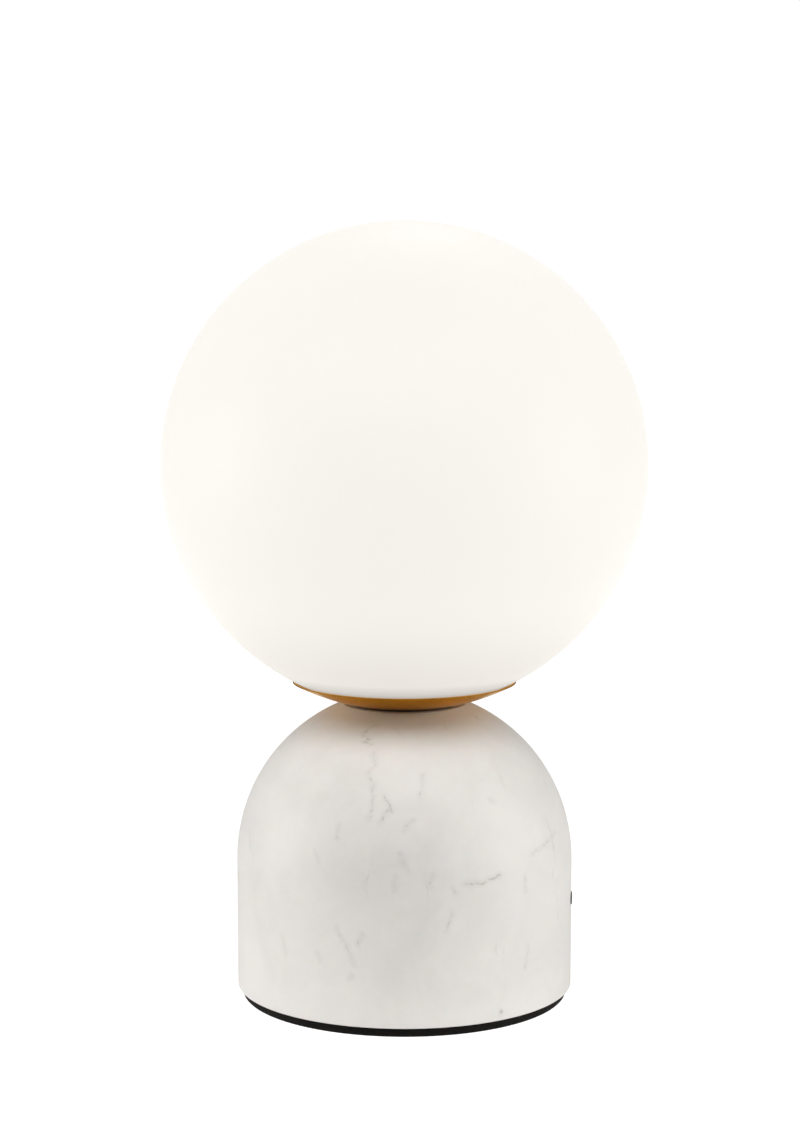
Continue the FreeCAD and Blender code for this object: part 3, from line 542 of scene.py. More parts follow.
FINISHES = {
    "opal_glass": opal_glass,
    "brass": polished_brass,
    "marble": honed_marble,
    "pad_rubber": foam_pad,
    "dark_fibre": lambda: moulded("pressed fibre", (0.05, 0.04, 0.032), 0.8, 900, 0.04),
    "silicone": lambda: moulded("soft silicone", (0.80, 0.79, 0.76), 0.45, 1200, 0.01, 0.25),
    "zinc_steel": lambda: plated_metal("zinc plated steel", (0.60, 0.61, 0.63), 0.30),
    "spring_steel": lambda: plated_metal("rolled spring steel", (0.42, 0.42, 0.44), 0.26, 900),
    "ceramic": lambda: moulded("unglazed ceramic", (0.84, 0.81, 0.75), 0.6, 2200),
    "white_plastic": lambda: moulded("white moulding", (0.86, 0.86, 0.83), 0.32),
    "black_plastic": lambda: moulded("black moulding", (0.016, 0.016, 0.017), 0.38),
    "frosted_cover": lambda: moulded("frosted cover", (0.92, 0.91, 0.88), 0.42, 2400, 0.01, 0.45),
    "light_board": lambda: moulded("coated board", (0.88, 0.87, 0.80), 0.5),
    "brown_sheath": lambda: moulded("brown sheath", (0.16, 0.07, 0.03), 0.42),
    "blue_sheath": lambda: moulded("blue sheath", (0.03, 0.12, 0.40), 0.42),
    "green_sheath": lambda: moulded("green sheath", (0.14, 0.32, 0.06), 0.42),
}
MADE_FINISHES = {}


def finish(slot):
    """The material of a slot, made once."""
    if slot not in MADE_FINISHES:
        MADE_FINISHES[slot] = FINISHES[slot]()
    return MADE_FINISHES[slot]


# --- Marks in the marble ---

# Each vein has its strength and its course, as (angle in degrees to the right of the front, level in mm).
VEINS = [
    (1, [(-12.6, 119), (-16.3, 118), (-19.2, 116.1)]),
    (1, [(-18.4, 115.3), (-14.4, 114.2), (-16.9, 113.2), (-12.1, 112.9)]),
    (0.95, [(69.1, 119.5), (67.9, 118.7)]),
    (0.9, [(0.5, 117.9), (3, 116.6)]),
    (0.88, [(34.1, 118.4), (34.4, 117.9)]),
    (0.93, [(-9.1, 109.6), (-7.2, 105.9), (-10, 103.1), (-7, 99.9), (-5.9, 94.8), (-6.3, 90), (-6.7, 87.2)]),
    (0.92, [(13.8, 102.4), (12.9, 97.8), (11.9, 95)]),
    (1, [(-1.5, 95), (0.9, 91.1), (-1.1, 88.7), (-2.3, 85.7)]),
    (1.06, [(0.5, 91.8), (1.3, 90)]),
    (0.92, [(9, 86.4), (7.3, 85.3), (5.7, 82.9)]),
    (0.88, [(-17.8, 83.3), (-17.8, 80.9), (-17.2, 79)]),
    (0.88, [(4.4, 74.4), (5.7, 70.4), (7.5, 67.3)]),
    (0.94, [(15.3, 65.9), (13.9, 62.9), (14.4, 61.3)]),
    (0.87, [(3.2, 65.1), (2.7, 59.8)]),
    (1, [(38.9, 63.5), (35.3, 62.5), (31.7, 60.9), (28.1, 61.6), (25.6, 61.6)]),
    (0.92, [(21.9, 60.4), (22.8, 58.1)]),
    (0.93, [(21.5, 50.7), (20.5, 46.4), (19.7, 43.3)]),
    (0.96, [(70.4, 74.3), (62.2, 71.3), (53.9, 69.3)]),
    (0.88, [(49.8, 61.6), (49.8, 55)]),
    (0.95, [(-16.5, 43.4), (-14.9, 39.7), (-12.8, 36.2), (-10.5, 29.4)]),
    (0.93, [(-7.8, 41.6), (-9.1, 37.7)]),
    (0.92, [(-12.3, 23.4), (-11, 24.5)]),
    (0.86, [(-23.4, 32.6), (-22.4, 29.5)]),
    (0.86, [(-38, 36.2), (-36.8, 28.9)]),
    (0.88, [(51.1, 31.7), (50.7, 27.3), (50, 23.7)]),
    (0.92, [(40.6, 92.3), (41.2, 91.3)]),
    (0.80, [(49.4, 99.7), (48.9, 96.9)]),
    (0.80, [(-25.3, 73.1), (-23.7, 69.4)]),
    (0.84, [(-62.1, 73.3), (-58.5, 67.7)]),
    (1.2, [(39.3, 7.6), (39.4, 7.4)]),
    # Round the sides and the back
    (0.93, [(97, 88), (101.5, 80.5), (99.5, 72), (104, 61)]),
    (0.88, [(112, 44), (109, 36.5), (111.5, 28)]),
    (0.90, [(133, 101), (139, 95), (137.5, 87)]),
    (0.95, [(152, 70), (157, 62), (155, 52), (160.5, 43)]),
    (0.88, [(171, 108), (168, 101.5)]),
    (0.92, [(186, 84), (191, 78), (189.5, 69)]),
    (0.88, [(203, 55), (200, 47.5), (204, 39)]),
    (0.95, [(222, 96), (226, 88), (223, 79.5), (229, 71)]),
    (0.90, [(243, 36), (247, 29)]),
    (0.92, [(262, 78), (257, 70), (260.5, 61)]),
    (0.88, [(281, 106), (276, 100)]),
]


def draw_veins(piece, settings):
    """Refines the stone's mesh along its veins, and marks how near each vertex is to one."""
    radius = settings.radius

    def on_stone(angle, level):
        above = max(level * MM - settings.dome_start, 0)
        out = math.sqrt(radius**2 - above**2)
        turn = math.radians(angle)
        return np.array((out * math.sin(turn), -out * math.cos(turn), level * MM))

    runs = []
    for strength, course in VEINS:
        points = [on_stone(*point) for point in course]
        runs += [(strength, start, end) for start, end in zip(points, points[1:])]

    def nearness(places, reach):
        best = np.zeros(len(places))
        for strength, start, end in runs:
            run = end - start
            share = np.clip((places - start) @ run / (run @ run), 0, 1)
            gap = np.linalg.norm(places - start - share[:, None] * run, axis=1)
            best = np.maximum(best, strength * (1 - gap / reach))
        return best

    pick(piece)
    for reach in (4 * MM, 2 * MM):
        bpy.ops.object.mode_set(mode="EDIT")
        bpy.ops.mesh.select_all(action="DESELECT")
        mesh = bmesh.from_edit_mesh(piece.data)
        centres = np.array([face.calc_center_median() for face in mesh.faces])
        near = nearness(centres, reach) > 0.15
        for face, chosen in zip(mesh.faces, near):
            face.select_set(bool(chosen))
        bmesh.update_edit_mesh(piece.data)
        bpy.ops.mesh.subdivide(number_cuts=1)
        bpy.ops.object.mode_set(mode="OBJECT")

    places = np.empty(len(piece.data.vertices) * 3)
    piece.data.vertices.foreach_get("co", places)
    places = places.reshape(-1, 3)
    heart = np.zeros_like(places)
    heart[:, 2] = np.minimum(places[:, 2], settings.dome_start)
    out = np.linalg.norm(places - heart, axis=1)
    skin = (abs(out - radius) < 0.03 * MM) & (places[:, 2] < STONE_HIGH.z - settings.arris)
    places[skin] = heart[skin] + (places - heart)[skin] / out[skin, None] * radius
    piece.data.vertices.foreach_set("co", places.ravel())

    reach = 3 * MM
    marks = nearness(places, reach)
    wandering = places.copy()
    for index in np.nonzero(marks > 0)[0]:
        wandering[index] += np.array(noise.noise_vector(Vector(places[index] * 330))) * 0.7 * MM
    marks = np.where(marks > 0, nearness(wandering, reach), 0)
    attribute = piece.data.attributes.new("vein", "FLOAT", "POINT")
    attribute.data.foreach_set("value", marks.astype(np.float32))
    piece.data.update()


# --- Pieces ---

class LAMP_OT_globe(Operator):
    """Models the opal globe, open and ground flat underneath"""
    bl_idname = "lamp.globe"
    bl_label = "Glass globe"

    def execute(self, context):
        sizes = context.scene.lamp_globe
        level = GLOBE_HIGH.z - sizes.radius
        inside = sizes.radius - sizes.wall
        edge = GLOBE_LOW.z - level
        outer_start = math.degrees(math.asin(edge / sizes.radius))
        inner_end = math.degrees(math.asin(edge / inside))
        step = math.degrees(sizes.arris / sizes.radius)
        outer = arc((0, level), sizes.radius, outer_start + step, 90, 84)
        inner = arc((0, level), inside, 90, inner_end + step, 72)
        inner_edge = math.sqrt(inside**2 - edge**2)
        ground = [
            (inner_edge + 0.3 * sizes.arris, GLOBE_LOW.z + 0.3 * sizes.arris),
            (inner_edge + sizes.arris, GLOBE_LOW.z),
            (sizes.opening - 1.2 * sizes.arris, GLOBE_LOW.z),
            (sizes.opening - 0.3 * sizes.arris, GLOBE_LOW.z + 0.2 * sizes.arris),
        ]
        piece = spin_outline("opal_globe", inner + ground + outer, 192)
        hand_over(piece, "globe", "opal_glass", "glass_globe")
        return {"FINISHED"}


class LAMP_OT_dish(Operator):
    """Models the spun brass dish that the globe sits in"""
    bl_idname = "lamp.dish"
    bl_label = "Brass dish"

    def execute(self, context):
        sizes = context.scene.lamp_dish
        globe = context.scene.lamp_globe
        level = GLOBE_HIGH.z - globe.radius
        inside = globe.radius + sizes.glass_gap
        outside = inside + sizes.wall
        floor = DISH_LOW.z + sizes.wall

        def wall(radius, start, end, steps):
            angles = [math.degrees(math.asin((height - level) / radius)) for height in (start, end)]
            return arc((0, level), radius, *angles, steps)

        outer = wall(outside, DISH_LOW.z, DISH_HIGH.z, 40)
        inner = wall(inside, DISH_HIGH.z, floor, 36)
        corners = [(sizes.hole_radius, floor), (sizes.hole_radius, DISH_LOW.z)] + outer + inner
        rim_out = 2 + len(outer) - 1
        rim_round = sizes.rim_round / MM
        outline = eased(corners, {
            1: 0.1, 2: 0.3, rim_out: rim_round, rim_out + 1: rim_round, len(corners) - 1: 0.4})
        hand_over(spin_outline("spun_dish", outline, 256), "base", "brass", "brass_dish")
        return {"FINISHED"}


class LAMP_OT_marble(Operator):
    """Models the marble drum with its dome, hollow and holes, and draws its veins"""
    bl_idname = "lamp.marble"
    bl_label = "Marble base"

    def execute(self, context):
        sizes = context.scene.lamp_stone
        tube_hole = context.scene.lamp_dish.hole_radius
        seat = math.degrees(math.acos((sizes.seat_radius + sizes.arris) / sizes.radius))
        rings = math.ceil((sizes.dome_start - STONE_LOW.z) / sizes.ring_spacing)
        dome_rings = math.ceil(sizes.radius * math.radians(seat) / sizes.ring_spacing)
        lower = arc((sizes.radius - sizes.arris, STONE_LOW.z + sizes.arris), sizes.arris, -90, 0, 4)
        drum_low = lower[-1][1]
        pitch = (sizes.dome_start - drum_low) / rings
        drum = [(sizes.radius, drum_low + pitch * step) for step in range(1, rings)]
        dome = arc((0, sizes.dome_start), sizes.radius, 0, seat, dome_rings)
        top = STONE_HIGH.z
        rim = [
            (sizes.seat_radius + 0.45 * sizes.arris, top - 0.10 * sizes.arris),
            (sizes.seat_radius, top - 0.02 * sizes.arris),
            (sizes.seat_radius - sizes.arris, top),
        ]
        ceiling = arc(
            (sizes.cavity_radius - sizes.cavity_corner, sizes.cavity_top - sizes.cavity_corner),
            sizes.cavity_corner, 90, 0, 8)
        outline = (
            [(sizes.rebate_radius, STONE_LOW.z)] + lower + drum + dome + rim
            + [(tube_hole, top), (tube_hole, sizes.cavity_top)] + ceiling
            + [(sizes.cavity_radius, sizes.rebate_top), (sizes.rebate_radius, sizes.rebate_top)]
        )
        piece = spin_outline("marble_body", outline, 360)

        behind, beyond = 40 * MM, 80 * MM
        level = sizes.button_level
        button_hole, mouth, depth = 2.9 * MM, 6.1 * MM, 1.6 * MM
        bore(piece, button_hole, (behind, 0, level), (beyond, 0, level))
        bore(piece, button_hole, (sizes.radius - depth, 0, level), (sizes.radius + depth, 0, level), mouth)
        level = sizes.cord_level
        cord_hole, recess = 5.1 * MM, 7.6 * MM
        bore(piece, cord_hole, (0, behind, level), (0, beyond, level))
        bore(piece, recess, (0, BUSH_HIGH.y - FLANGE, level), (0, beyond, level))
        insert_hole = 2.55 * MM
        circle = (sizes.cavity_radius + PLATE_HIGH.x) / 2
        for turn in (30, 150, 270):
            x = circle * math.cos(math.radians(turn))
            y = circle * math.sin(math.radians(turn))
            bore(piece, insert_hole, (x, y, 5 * MM), (x, y, 15 * MM))
        draw_veins(piece, sizes)
        hand_over(piece, "base", "marble", "marble_base")
        return {"FINISHED"}


class LAMP_OT_pad(Operator):
    """Models the foam pad under the stone"""
    bl_idname = "lamp.pad"
    bl_label = "Foam pad"

    def execute(self, context):
        radius = PAD_HIGH.x
        slope = 0.5 * MM
        corners = [
            (0, PAD_HIGH.z), (radius, PAD_HIGH.z), (radius, PAD_LOW.z + slope), (radius - slope, PAD_LOW.z),
            (0, PAD_LOW.z),
        ]
        outline = eased(corners, {1: 0.2, 2: 0.3, 3: 0.3}, closed=False)
        hand_over(spin_outline("foam_pad", outline, 256), "base", "pad_rubber", "base_pad")
        return {"FINISHED"}


class LAMP_OT_button(Operator):
    """Models the push button in the stone's flank"""
    bl_idname = "lamp.button"
    bl_label = "Push button"

    def execute(self, context):
        level = context.scene.lamp_stone.button_level
        front, back = BUTTON_HIGH.x, BUTTON_LOW.x
        head, stem, socket = 2.75 * MM, 2.25 * MM, 1.5 * MM
        neck = front - 1.9 * MM
        bottom = back + 3 * MM
        hollow = [(0, front - 0.16 * MM), (1.2 * MM, front - 0.14 * MM), (1.9 * MM, front - 0.06 * MM)]
        corners = hollow + [
            (2.2 * MM, front), (head, front), (head, neck), (stem, neck),
            (stem, back), (socket, back), (socket, bottom), (0, bottom),
        ]
        outline = eased(corners, {3: 0.3, 4: 0.3, 5: 0.1, 7: 0.2}, closed=False)
        piece = spin_outline("push_button", outline, 96, (0, 0, level), "X")
        hand_over(piece, "button", "black_plastic", "button_cap")
        return {"FINISHED"}


class LAMP_OT_return_spring(Operator):
    """Models the button's return spring"""
    bl_idname = "lamp.return_spring"
    bl_label = "Return spring"

    def execute(self, context):
        wire, coil = 0.25 * MM, 2.3 * MM
        turns = context.scene.lamp_fittings.spring_turns
        level = context.scene.lamp_stone.button_level
        length = SPRING_HIGH.x - SPRING_LOW.x
        deselect()
        bpy.ops.mesh.primitive_circle_add(
            vertices=12, radius=wire, location=(SPRING_LOW.x + wire, 0, coil), rotation=(math.pi / 2, 0, 0))
        piece = settle(bpy.context.object, "return_spring")
        apply_modifier(
            piece, "coil", "SCREW", axis="X", screw_offset=(length - 2 * wire) / turns, iterations=turns,
            steps=24, render_steps=24)
        edit(piece)
        bpy.ops.mesh.fill_holes(sides=0)
        face_outwards()
        piece.location.z = level
        settle(piece, "return_spring")
        hand_over(piece, "base", "spring_steel", "button_spring", crisp=60)
        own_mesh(piece)
        return {"FINISHED"}


class LAMP_OT_cord_bush(Operator):
    """Models the flanged bush of the cord entry"""
    bl_idname = "lamp.cord_bush"
    bl_label = "Cord bush"

    def execute(self, context):
        level = context.scene.lamp_stone.cord_level
        low, high = BUSH_LOW.y, BUSH_HIGH.y
        seat = high - FLANGE
        hole, body, flange = 3.4 * MM, 5 * MM, 7.5 * MM
        corners = [
            (hole, low), (hole, high), (flange - 1.3 * MM, high), (flange, high - 0.7 * MM),
            (flange, seat), (body, seat), (body, low),
        ]
        outline = eased(corners, {0: 0.2, 1: 0.6, 2: 0.8, 3: 0.3, 6: 0.3})
        piece = spin_outline("cord_entry_bush", outline, 128, (0, 0, level), "Y")
        hand_over(piece, "base", "black_plastic", "cord_bush")
        return {"FINISHED"}


class LAMP_OT_cushion(Operator):
    """Models the soft ring under the globe's cut edge"""
    bl_idname = "lamp.cushion"
    bl_label = "Soft ring"

    def execute(self, context):
        globe = context.scene.lamp_globe
        inside = globe.radius + context.scene.lamp_dish.glass_gap
        centre = GLOBE_HIGH.z - globe.radius
        outer = globe.opening - 1.5 * MM
        inner = outer - 4.5 * MM
        clearance = 0.03 * MM

        def dish_level(radius):
            return centre - math.sqrt(inside**2 - radius**2) + clearance

        top = CUSHION_HIGH.z
        middle = (inner + outer) / 2
        groove, depth = 0.6 * MM, 0.5 * MM
        corners = [
            (outer, top), (middle + groove, top), (middle, top - depth), (middle - groove, top), (inner, top),
            (inner, dish_level(inner)), (middle, dish_level(middle)), (outer, dish_level(outer)),
        ]
        outline = eased(corners, {0: 0.4, 1: 0.2, 2: 0.3, 3: 0.2, 4: 0.4, 5: 0.3, 7: 0.2})
        hand_over(spin_outline("soft_ring", outline, 160), "base", "silicone", "cushion_ring", crisp=40)
        return {"FINISHED"}


class LAMP_OT_arms(Operator):
    """Models the leaf arms that hold the globe's opening"""
    bl_idname = "lamp.arms"
    bl_label = "Leaf arms"

    def execute(self, context):
        sizes = context.scene.lamp_fittings
        globe = context.scene.lamp_globe
        half = sizes.arm_thickness / 2
        level = CARRIER_HIGH.z + half
        inside = globe.radius - globe.wall
        spare = 0.3 * MM
        opening = math.sqrt(inside**2 - (GLOBE_LOW.z - GLOBE_HIGH.z + globe.radius)**2) - spare
        land = math.sqrt(opening**2 - (sizes.arm_width / 2)**2) - half
        middle = GLOBE_LOW.z + sizes.arm_thickness
        grip = 2.75 * MM
        course = [
            (12 * MM, level), (CARRIER_HIGH.x + 4 * MM, level), (land, middle - grip),
            (land, middle + grip), (land - 5 * MM, middle + grip + 10 * MM),
        ]
        deselect()
        bpy.ops.mesh.primitive_plane_add(size=1, location=(0, 0, 0))
        arm = settle(bpy.context.object, "arm")
        bpy.ops.object.mode_set(mode="EDIT")
        mesh = bmesh.from_edit_mesh(arm.data)
        for vertex in mesh.verts:
            out, up = course[0] if vertex.co.x < 0 else course[1]
            vertex.co = Vector((out, math.copysign(sizes.arm_width / 2, vertex.co.y), up))
        bmesh.update_edit_mesh(arm.data)
        for (out, up), (next_out, next_up) in zip(course[1:], course[2:]):
            choose_edges(arm, lambda edge: all(
                abs(v.co.x - out) + abs(v.co.z - up) < 0.01 * MM for v in edge.verts))
            step = (next_out - out, 0, next_up - up)
            bpy.ops.mesh.extrude_edges_move(TRANSFORM_OT_translate={"value": step})
        choose_edges(arm, lambda edge: len(edge.link_faces) == 2 and (
            abs(edge.verts[0].co.y - edge.verts[1].co.y) > sizes.arm_width / 2))
        bpy.ops.mesh.bevel(offset=1.1 * MM, segments=5, affect="EDGES")
        bpy.ops.object.mode_set(mode="OBJECT")
        apply_modifier(arm, "sheet", "SOLIDIFY", thickness=sizes.arm_thickness, offset=0)
        rivet_hole, rivet_at = 1.55 * MM, 17 * MM
        bore(arm, rivet_hole, (rivet_at, 0, level - 2 * MM), (rivet_at, 0, level + 2 * MM))
        apply_modifier(arm, "edges", "BEVEL", width=0.12 * MM, segments=2, limit_method="ANGLE")
        edit(arm)
        face_outwards()
        arms = [arm]
        for _ in range(sizes.arm_count - 1):
            pick(arm)
            bpy.ops.object.duplicate()
            arms.append(context.object)
        for turn, arm in enumerate(arms):
            arm.rotation_euler.z = math.radians(90 + 360 / sizes.arm_count * turn)
            settle(arm, "arm")
        piece = join("leaf_arms", arms)
        hand_over(piece, "base", "spring_steel", "spring_arms", crisp=35)
        return {"FINISHED"}


class LAMP_OT_tube(Operator):
    """Models the threaded tie tube"""
    bl_idname = "lamp.tube"
    bl_label = "Tie tube"

    def execute(self, context):
        sizes = context.scene.lamp_fittings
        crest, hole, chamfer = 5 * MM, 3.6 * MM, 0.3 * MM
        root = crest - sizes.thread_depth
        turns = round((TUBE_HIGH.z - TUBE_LOW.z) / sizes.thread_pitch)
        pitch = (TUBE_HIGH.z - TUBE_LOW.z) / turns
        outline = [(hole, TUBE_HIGH.z - chamfer), (hole, TUBE_LOW.z + chamfer), (hole + chamfer, TUBE_LOW.z)]
        for turn in range(turns):
            low = TUBE_LOW.z + turn * pitch
            outline += [(root, low), (crest, low + 0.45 * pitch), (crest, low + 0.6 * pitch)]
        outline += [(root, TUBE_HIGH.z), (hole + chamfer, TUBE_HIGH.z)]
        hand_over(spin_outline("threaded_tube", outline, 72), "base", "zinc_steel", "tie_tube", crisp=25)
        return {"FINISHED"}


class LAMP_OT_holder(Operator):
    """Models the lampholder's metal cup"""
    bl_idname = "lamp.holder"
    bl_label = "Lampholder cup"

    def execute(self, context):
        lip, hole = 13 * MM, 5.05 * MM
        inside, skirt, groove = lip - 1.2 * MM, lip - 0.2 * MM, lip - 0.7 * MM
        low, high = CUP_LOW.z, CUP_HIGH.z
        floor = low + 4 * MM
        corners = [
            (hole, low), (lip - 2.5 * MM, low), (skirt, low + 2.3 * MM), (skirt, low + 10.5 * MM),
            (groove, low + 11 * MM), (groove, low + 12 * MM), (skirt, low + 12.5 * MM),
            (skirt, high - 1.6 * MM), (lip, high - 1.3 * MM), (lip, high), (inside, high), (inside, floor),
            (hole, floor),
        ]
        outline = eased(corners, {0: 0.3, 1: 1.2, 2: 1.2, 4: 0.2, 5: 0.2, 8: 0.2, 9: 0.2, 10: 0.2})
        piece = spin_outline("holder_cup", outline, 128)
        screw_hole, screw_level = 1.55 * MM, 167.99 * MM
        for side in (-1, 1):
            bore(piece, screw_hole, (0, side * 10 * MM, screw_level), (0, side * 16 * MM, screw_level))
        hand_over(piece, "base", "zinc_steel", "lampholder_cup")
        return {"FINISHED"}


class LAMP_OT_plug_in_lamp(Operator):
    """Models the plug-in lamp: its foot, frosted cover and light board"""
    bl_idname = "lamp.plug_in_lamp"
    bl_label = "Plug-in lamp"

    def execute(self, context):
        radius = 9 * MM
        low, high = FOOT_HIGH.z - 5 * MM, FOOT_HIGH.z
        foot = soft_block(
            "foot", (-7 * MM, -3.2 * MM, FOOT_LOW.z), (7 * MM, 3.2 * MM, low + 0.2 * MM), 0.5 * MM)
        groove = radius - 0.4 * MM
        corners = [
            (0, low), (radius, low), (radius, low + 1.8 * MM), (groove, low + 2.1 * MM),
            (groove, low + 2.7 * MM), (radius, low + 3 * MM), (radius, high), (0, high),
        ]
        collar = spin_outline("collar", eased(corners, {1: 0.6, 6: 0.2}, closed=False), 128)
        hand_over(join("lamp_foot", [foot, collar]), "lamp", "white_plastic", "lamp_base")

        inside = radius - 1.2 * MM
        low, edge = COVER_LOW.z, 0.2 * MM
        centre = (0, COVER_HIGH.z - radius)
        outer = arc(centre, radius, 0, 90, 24)
        inner = arc(centre, inside, 90, 0, 20)
        rim = [(inside, low + edge), (inside + edge, low), (radius - edge, low), (radius, low + edge)]
        cover = spin_outline("frosted_tube", inner + rim + outer, 128)
        hand_over(cover, "lamp", "frosted_cover", "lamp_cover")

        board = soft_block("board", BOARD_LOW, BOARD_HIGH, 0.15 * MM)
        board.data.materials.append(finish("light_board"))
        rows = context.scene.lamp_fittings.chip_rows
        pitch = (BOARD_HIGH.z - BOARD_LOW.z) / rows
        phosphor = moulded("phosphor", (0.85, 0.62, 0.12), 0.35)
        half_width, half_height, sunk, proud = 0.9 * MM, 1.2 * MM, 0.1 * MM, 0.5 * MM
        pieces = [board]
        for row in range(rows):
            level = BOARD_LOW.z + (row + 0.5) * pitch
            for across in (-2.4 * MM, 2.4 * MM):
                for side in (-1, 1):
                    face = side * BOARD_HIGH.y
                    near, far = sorted((face - side * sunk, face + side * proud))
                    chip = soft_block(
                        "chip", (across - half_width, near, level - half_height),
                        (across + half_width, far, level + half_height), 0.1 * MM)
                    chip.data.materials.append(phosphor)
                    pieces.append(chip)
        hand_over(join("chip_board", pieces), "lamp", "light_board", "lamp_board")
        return {"FINISHED"}


class LAMP_OT_fittings(Operator):
    """Gives the nuts, screws, switch parts and wires their finishes"""
    bl_idname = "lamp.fittings"
    bl_label = "Fittings"

    def execute(self, context):
        slots = {part["node"]: part["material_slot"] for part in frame["record"]["subparts"]}
        for name, piece in frame["nodes"].items():
            if piece.hide_render:
                continue
            if not piece.material_slots:
                piece.data.materials.append(None)
            for held in piece.material_slots:
                held.material = finish(slots[name])
        return {"FINISHED"}


# --- Studio ---

def flat_card(name, width, depth, place, rotation, colour, glow=0.0):
    """A plain rectangle of the studio."""
    deselect()
    bpy.ops.mesh.primitive_plane_add(size=1, location=place, rotation=rotation)
    card = bpy.context.object
    card.scale = (width, depth, 1)
    settle(card, name)
    dress_card(card, colour, glow)
    return card


def dress_card(card, colour, glow):
    """Matt paper, slightly uneven, for a studio surface."""
    material, tree, shader = new_finish(card.name, Roughness=0.9)
    speckle = cloudy(tree, place_on_piece(tree), 9, 2, 0.5)
    tint = blend_colours(tree, speckle, shade(colour, 1.01), shade(colour, 0.99))
    tree.links.new(tint, shader.inputs["Base Color"])
    shader.inputs["Specular IOR Level"].default_value = 0.1
    shader.inputs["Emission Color"].default_value = (1, 1, 1, 1)
    shader.inputs["Emission Strength"].default_value = glow
    card.data.materials.append(material)


def only_for_camera(card):
    """Keeps a studio surface out of the lamp's light and reflections."""
    for rays in ("diffuse", "glossy", "transmission", "shadow"):
        setattr(card, "visible_" + rays, False)


def softbox(name, around, distance, height, width, tall, power):
    """A soft light at an angle to the right of the front, aimed at the lamp."""
    deselect()
    turn = math.radians(around)
    place = Vector((distance * math.sin(turn), -distance * math.cos(turn), height))
    middle = Vector((0, 0, 0.16))
    bpy.ops.object.light_add(type="AREA", location=place)
    light = bpy.context.object
    light.name = name
    light.data.shape = "RECTANGLE"
    light.data.size = width
    light.data.size_y = tall
    light.data.energy = power
    light.data.color = (1, 0.985, 0.965)
    light.rotation_euler = (middle - place).to_track_quat("-Z", "Y").to_euler()


# Name, angle to the right of the front, distance, height, width, height of the box, power
SOFTBOXES = [
    ("front_softbox", 0, 1.15, 1.35, 0.6, 0.4, 6.6),
    ("back_softbox", 180, 1.0, 1.4, 0.6, 0.6, 2.5),
    ("left_front_softbox", -38, 1.1, 1.3, 0.5, 0.5, 4.2),
    ("left_side_softbox", -80, 1.3, 0.3, 0.6, 0.6, 6.2),
    ("right_front_softbox", 38, 1.1, 1.3, 0.5, 0.5, 4.2),
    ("right_side_softbox", 80, 1.3, 0.3, 0.6, 0.6, 6.2),
]


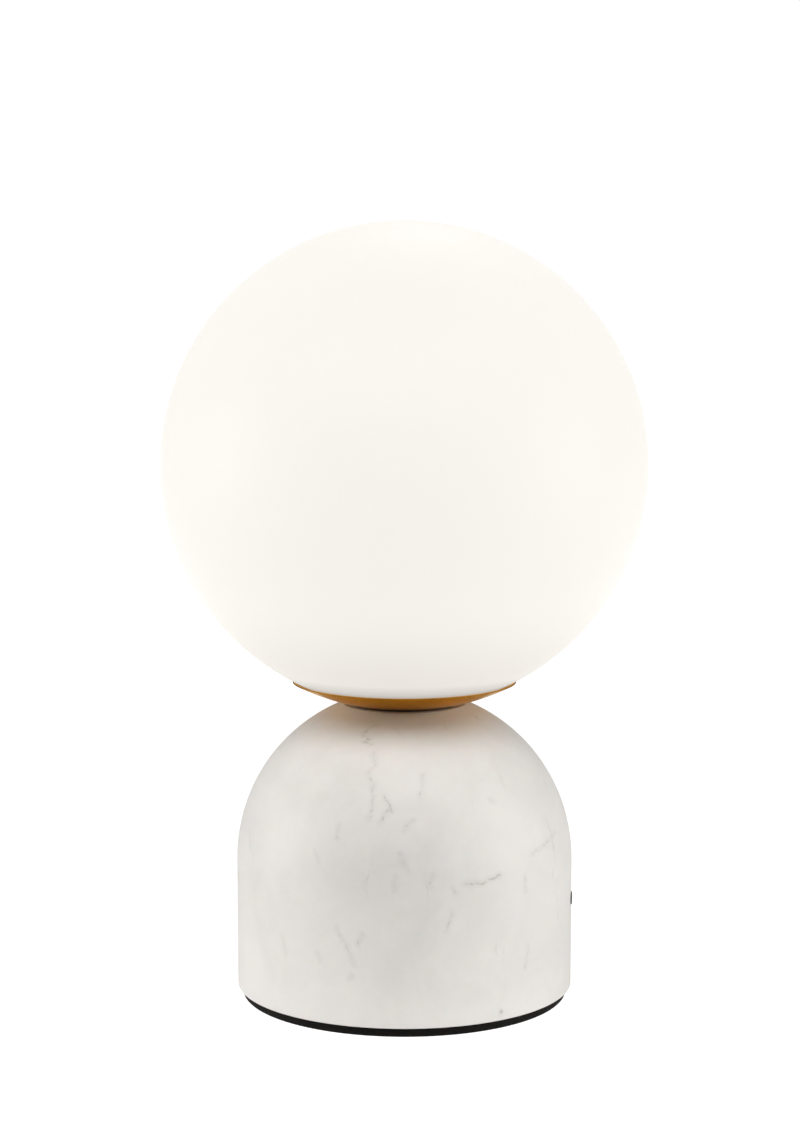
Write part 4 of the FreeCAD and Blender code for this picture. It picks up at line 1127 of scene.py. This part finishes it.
class LAMP_OT_studio(Operator):
    """Sets the white floor and surroundings, the soft lights, the dark cards in front and the camera"""
    bl_idname = "lamp.studio"
    bl_label = "Studio"

    def execute(self, context):
        settings = context.scene.lamp_studio
        world = bpy.data.worlds.new("soft surroundings")
        world.use_nodes = True
        fill = world.node_tree.nodes["Background"]
        fill.inputs["Color"].default_value = (1, 0.99, 0.975, 1)
        fill.inputs["Strength"].default_value = settings.fill
        context.scene.world = world
        context.scene.view_settings.view_transform = "Standard"

        deselect()
        bpy.ops.mesh.primitive_uv_sphere_add(segments=64, ring_count=32, radius=6)
        backdrop = settle(context.object, "studio_backdrop")
        dress_card(backdrop, (0.1, 0.1, 0.1), 1.0)
        only_for_camera(backdrop)
        span, level = 11.8, (0, 0, 0)
        floor = flat_card("studio_floor", span, span, (0, 0, 0), level, (0.4, 0.4, 0.4), settings.floor_glow)
        only_for_camera(floor)
        bounce = flat_card("bounce_floor", span, span, (0, 0, -MM), level, (0.86, 0.86, 0.855), 0.15)
        bounce.visible_camera = False

        dark = (0.10, 0.095, 0.09)
        front = flat_card("front_card", 3.2, 1.1, (0.1, -1.7, 0.55), (math.pi / 2, 0, 0), dark)
        apron = flat_card("front_apron", 2.4, 1.5, (0.1, -1.0, 4 * MM), level, dark)
        for card in (front, apron):
            card.visible_camera = False
            card.visible_shadow = False

        for *box, power in SOFTBOXES:
            softbox(*box, power * settings.power)

        deselect()
        side, away = settings.camera_side, settings.camera_distance
        bpy.ops.object.camera_add(
            location=(away * math.sin(side), -away * math.cos(side), settings.camera_height),
            rotation=(math.pi / 2 - settings.camera_tilt, 0, side + settings.camera_turn))
        camera = context.object
        camera.name = "studio_camera"
        camera.data.lens = settings.lens
        camera.data.sensor_width = 36
        camera.data.sensor_fit = "AUTO"
        camera.data.clip_start = 0.01
        context.scene.camera = camera
        return {"FINISHED"}


class LAMP_PT_panel(Panel):
    """Lists the lamp's sizes, pieces and studio"""
    bl_idname = "LAMP_PT_panel"
    bl_label = "Glass globe table lamp"
    bl_space_type = "VIEW_3D"
    bl_region_type = "UI"
    bl_category = "Lamp"

    def draw(self, context):
        for group, settings in SETTINGS.items():
            box = self.layout.box()
            for name in settings.__annotations__:
                box.prop(getattr(context.scene, group), name)
        for operator in OPERATORS:
            self.layout.operator(operator.bl_idname)


SETTINGS = {
    "lamp_globe": GlobeSettings,
    "lamp_dish": DishSettings,
    "lamp_stone": StoneSettings,
    "lamp_fittings": FittingSettings,
    "lamp_studio": StudioSettings,
}
OPERATORS = [
    LAMP_OT_globe, LAMP_OT_dish, LAMP_OT_marble, LAMP_OT_pad, LAMP_OT_button, LAMP_OT_return_spring,
    LAMP_OT_cord_bush, LAMP_OT_cushion, LAMP_OT_arms, LAMP_OT_tube, LAMP_OT_holder, LAMP_OT_plug_in_lamp,
    LAMP_OT_fittings, LAMP_OT_studio,
]


def register():
    for name, settings in SETTINGS.items():
        bpy.utils.register_class(settings)
        setattr(bpy.types.Scene, name, PointerProperty(type=settings))
    for operator in OPERATORS:
        bpy.utils.register_class(operator)
    bpy.utils.register_class(LAMP_PT_panel)


def unregister():
    bpy.utils.unregister_class(LAMP_PT_panel)
    for operator in reversed(OPERATORS):
        bpy.utils.unregister_class(operator)
    for name, settings in SETTINGS.items():
        delattr(bpy.types.Scene, name)
        bpy.utils.unregister_class(settings)


def main():
    register()
    for operator in OPERATORS:
        group, name = operator.bl_idname.split(".")
        getattr(getattr(bpy.ops, group), name)()


if __name__ == "__main__":
    main()
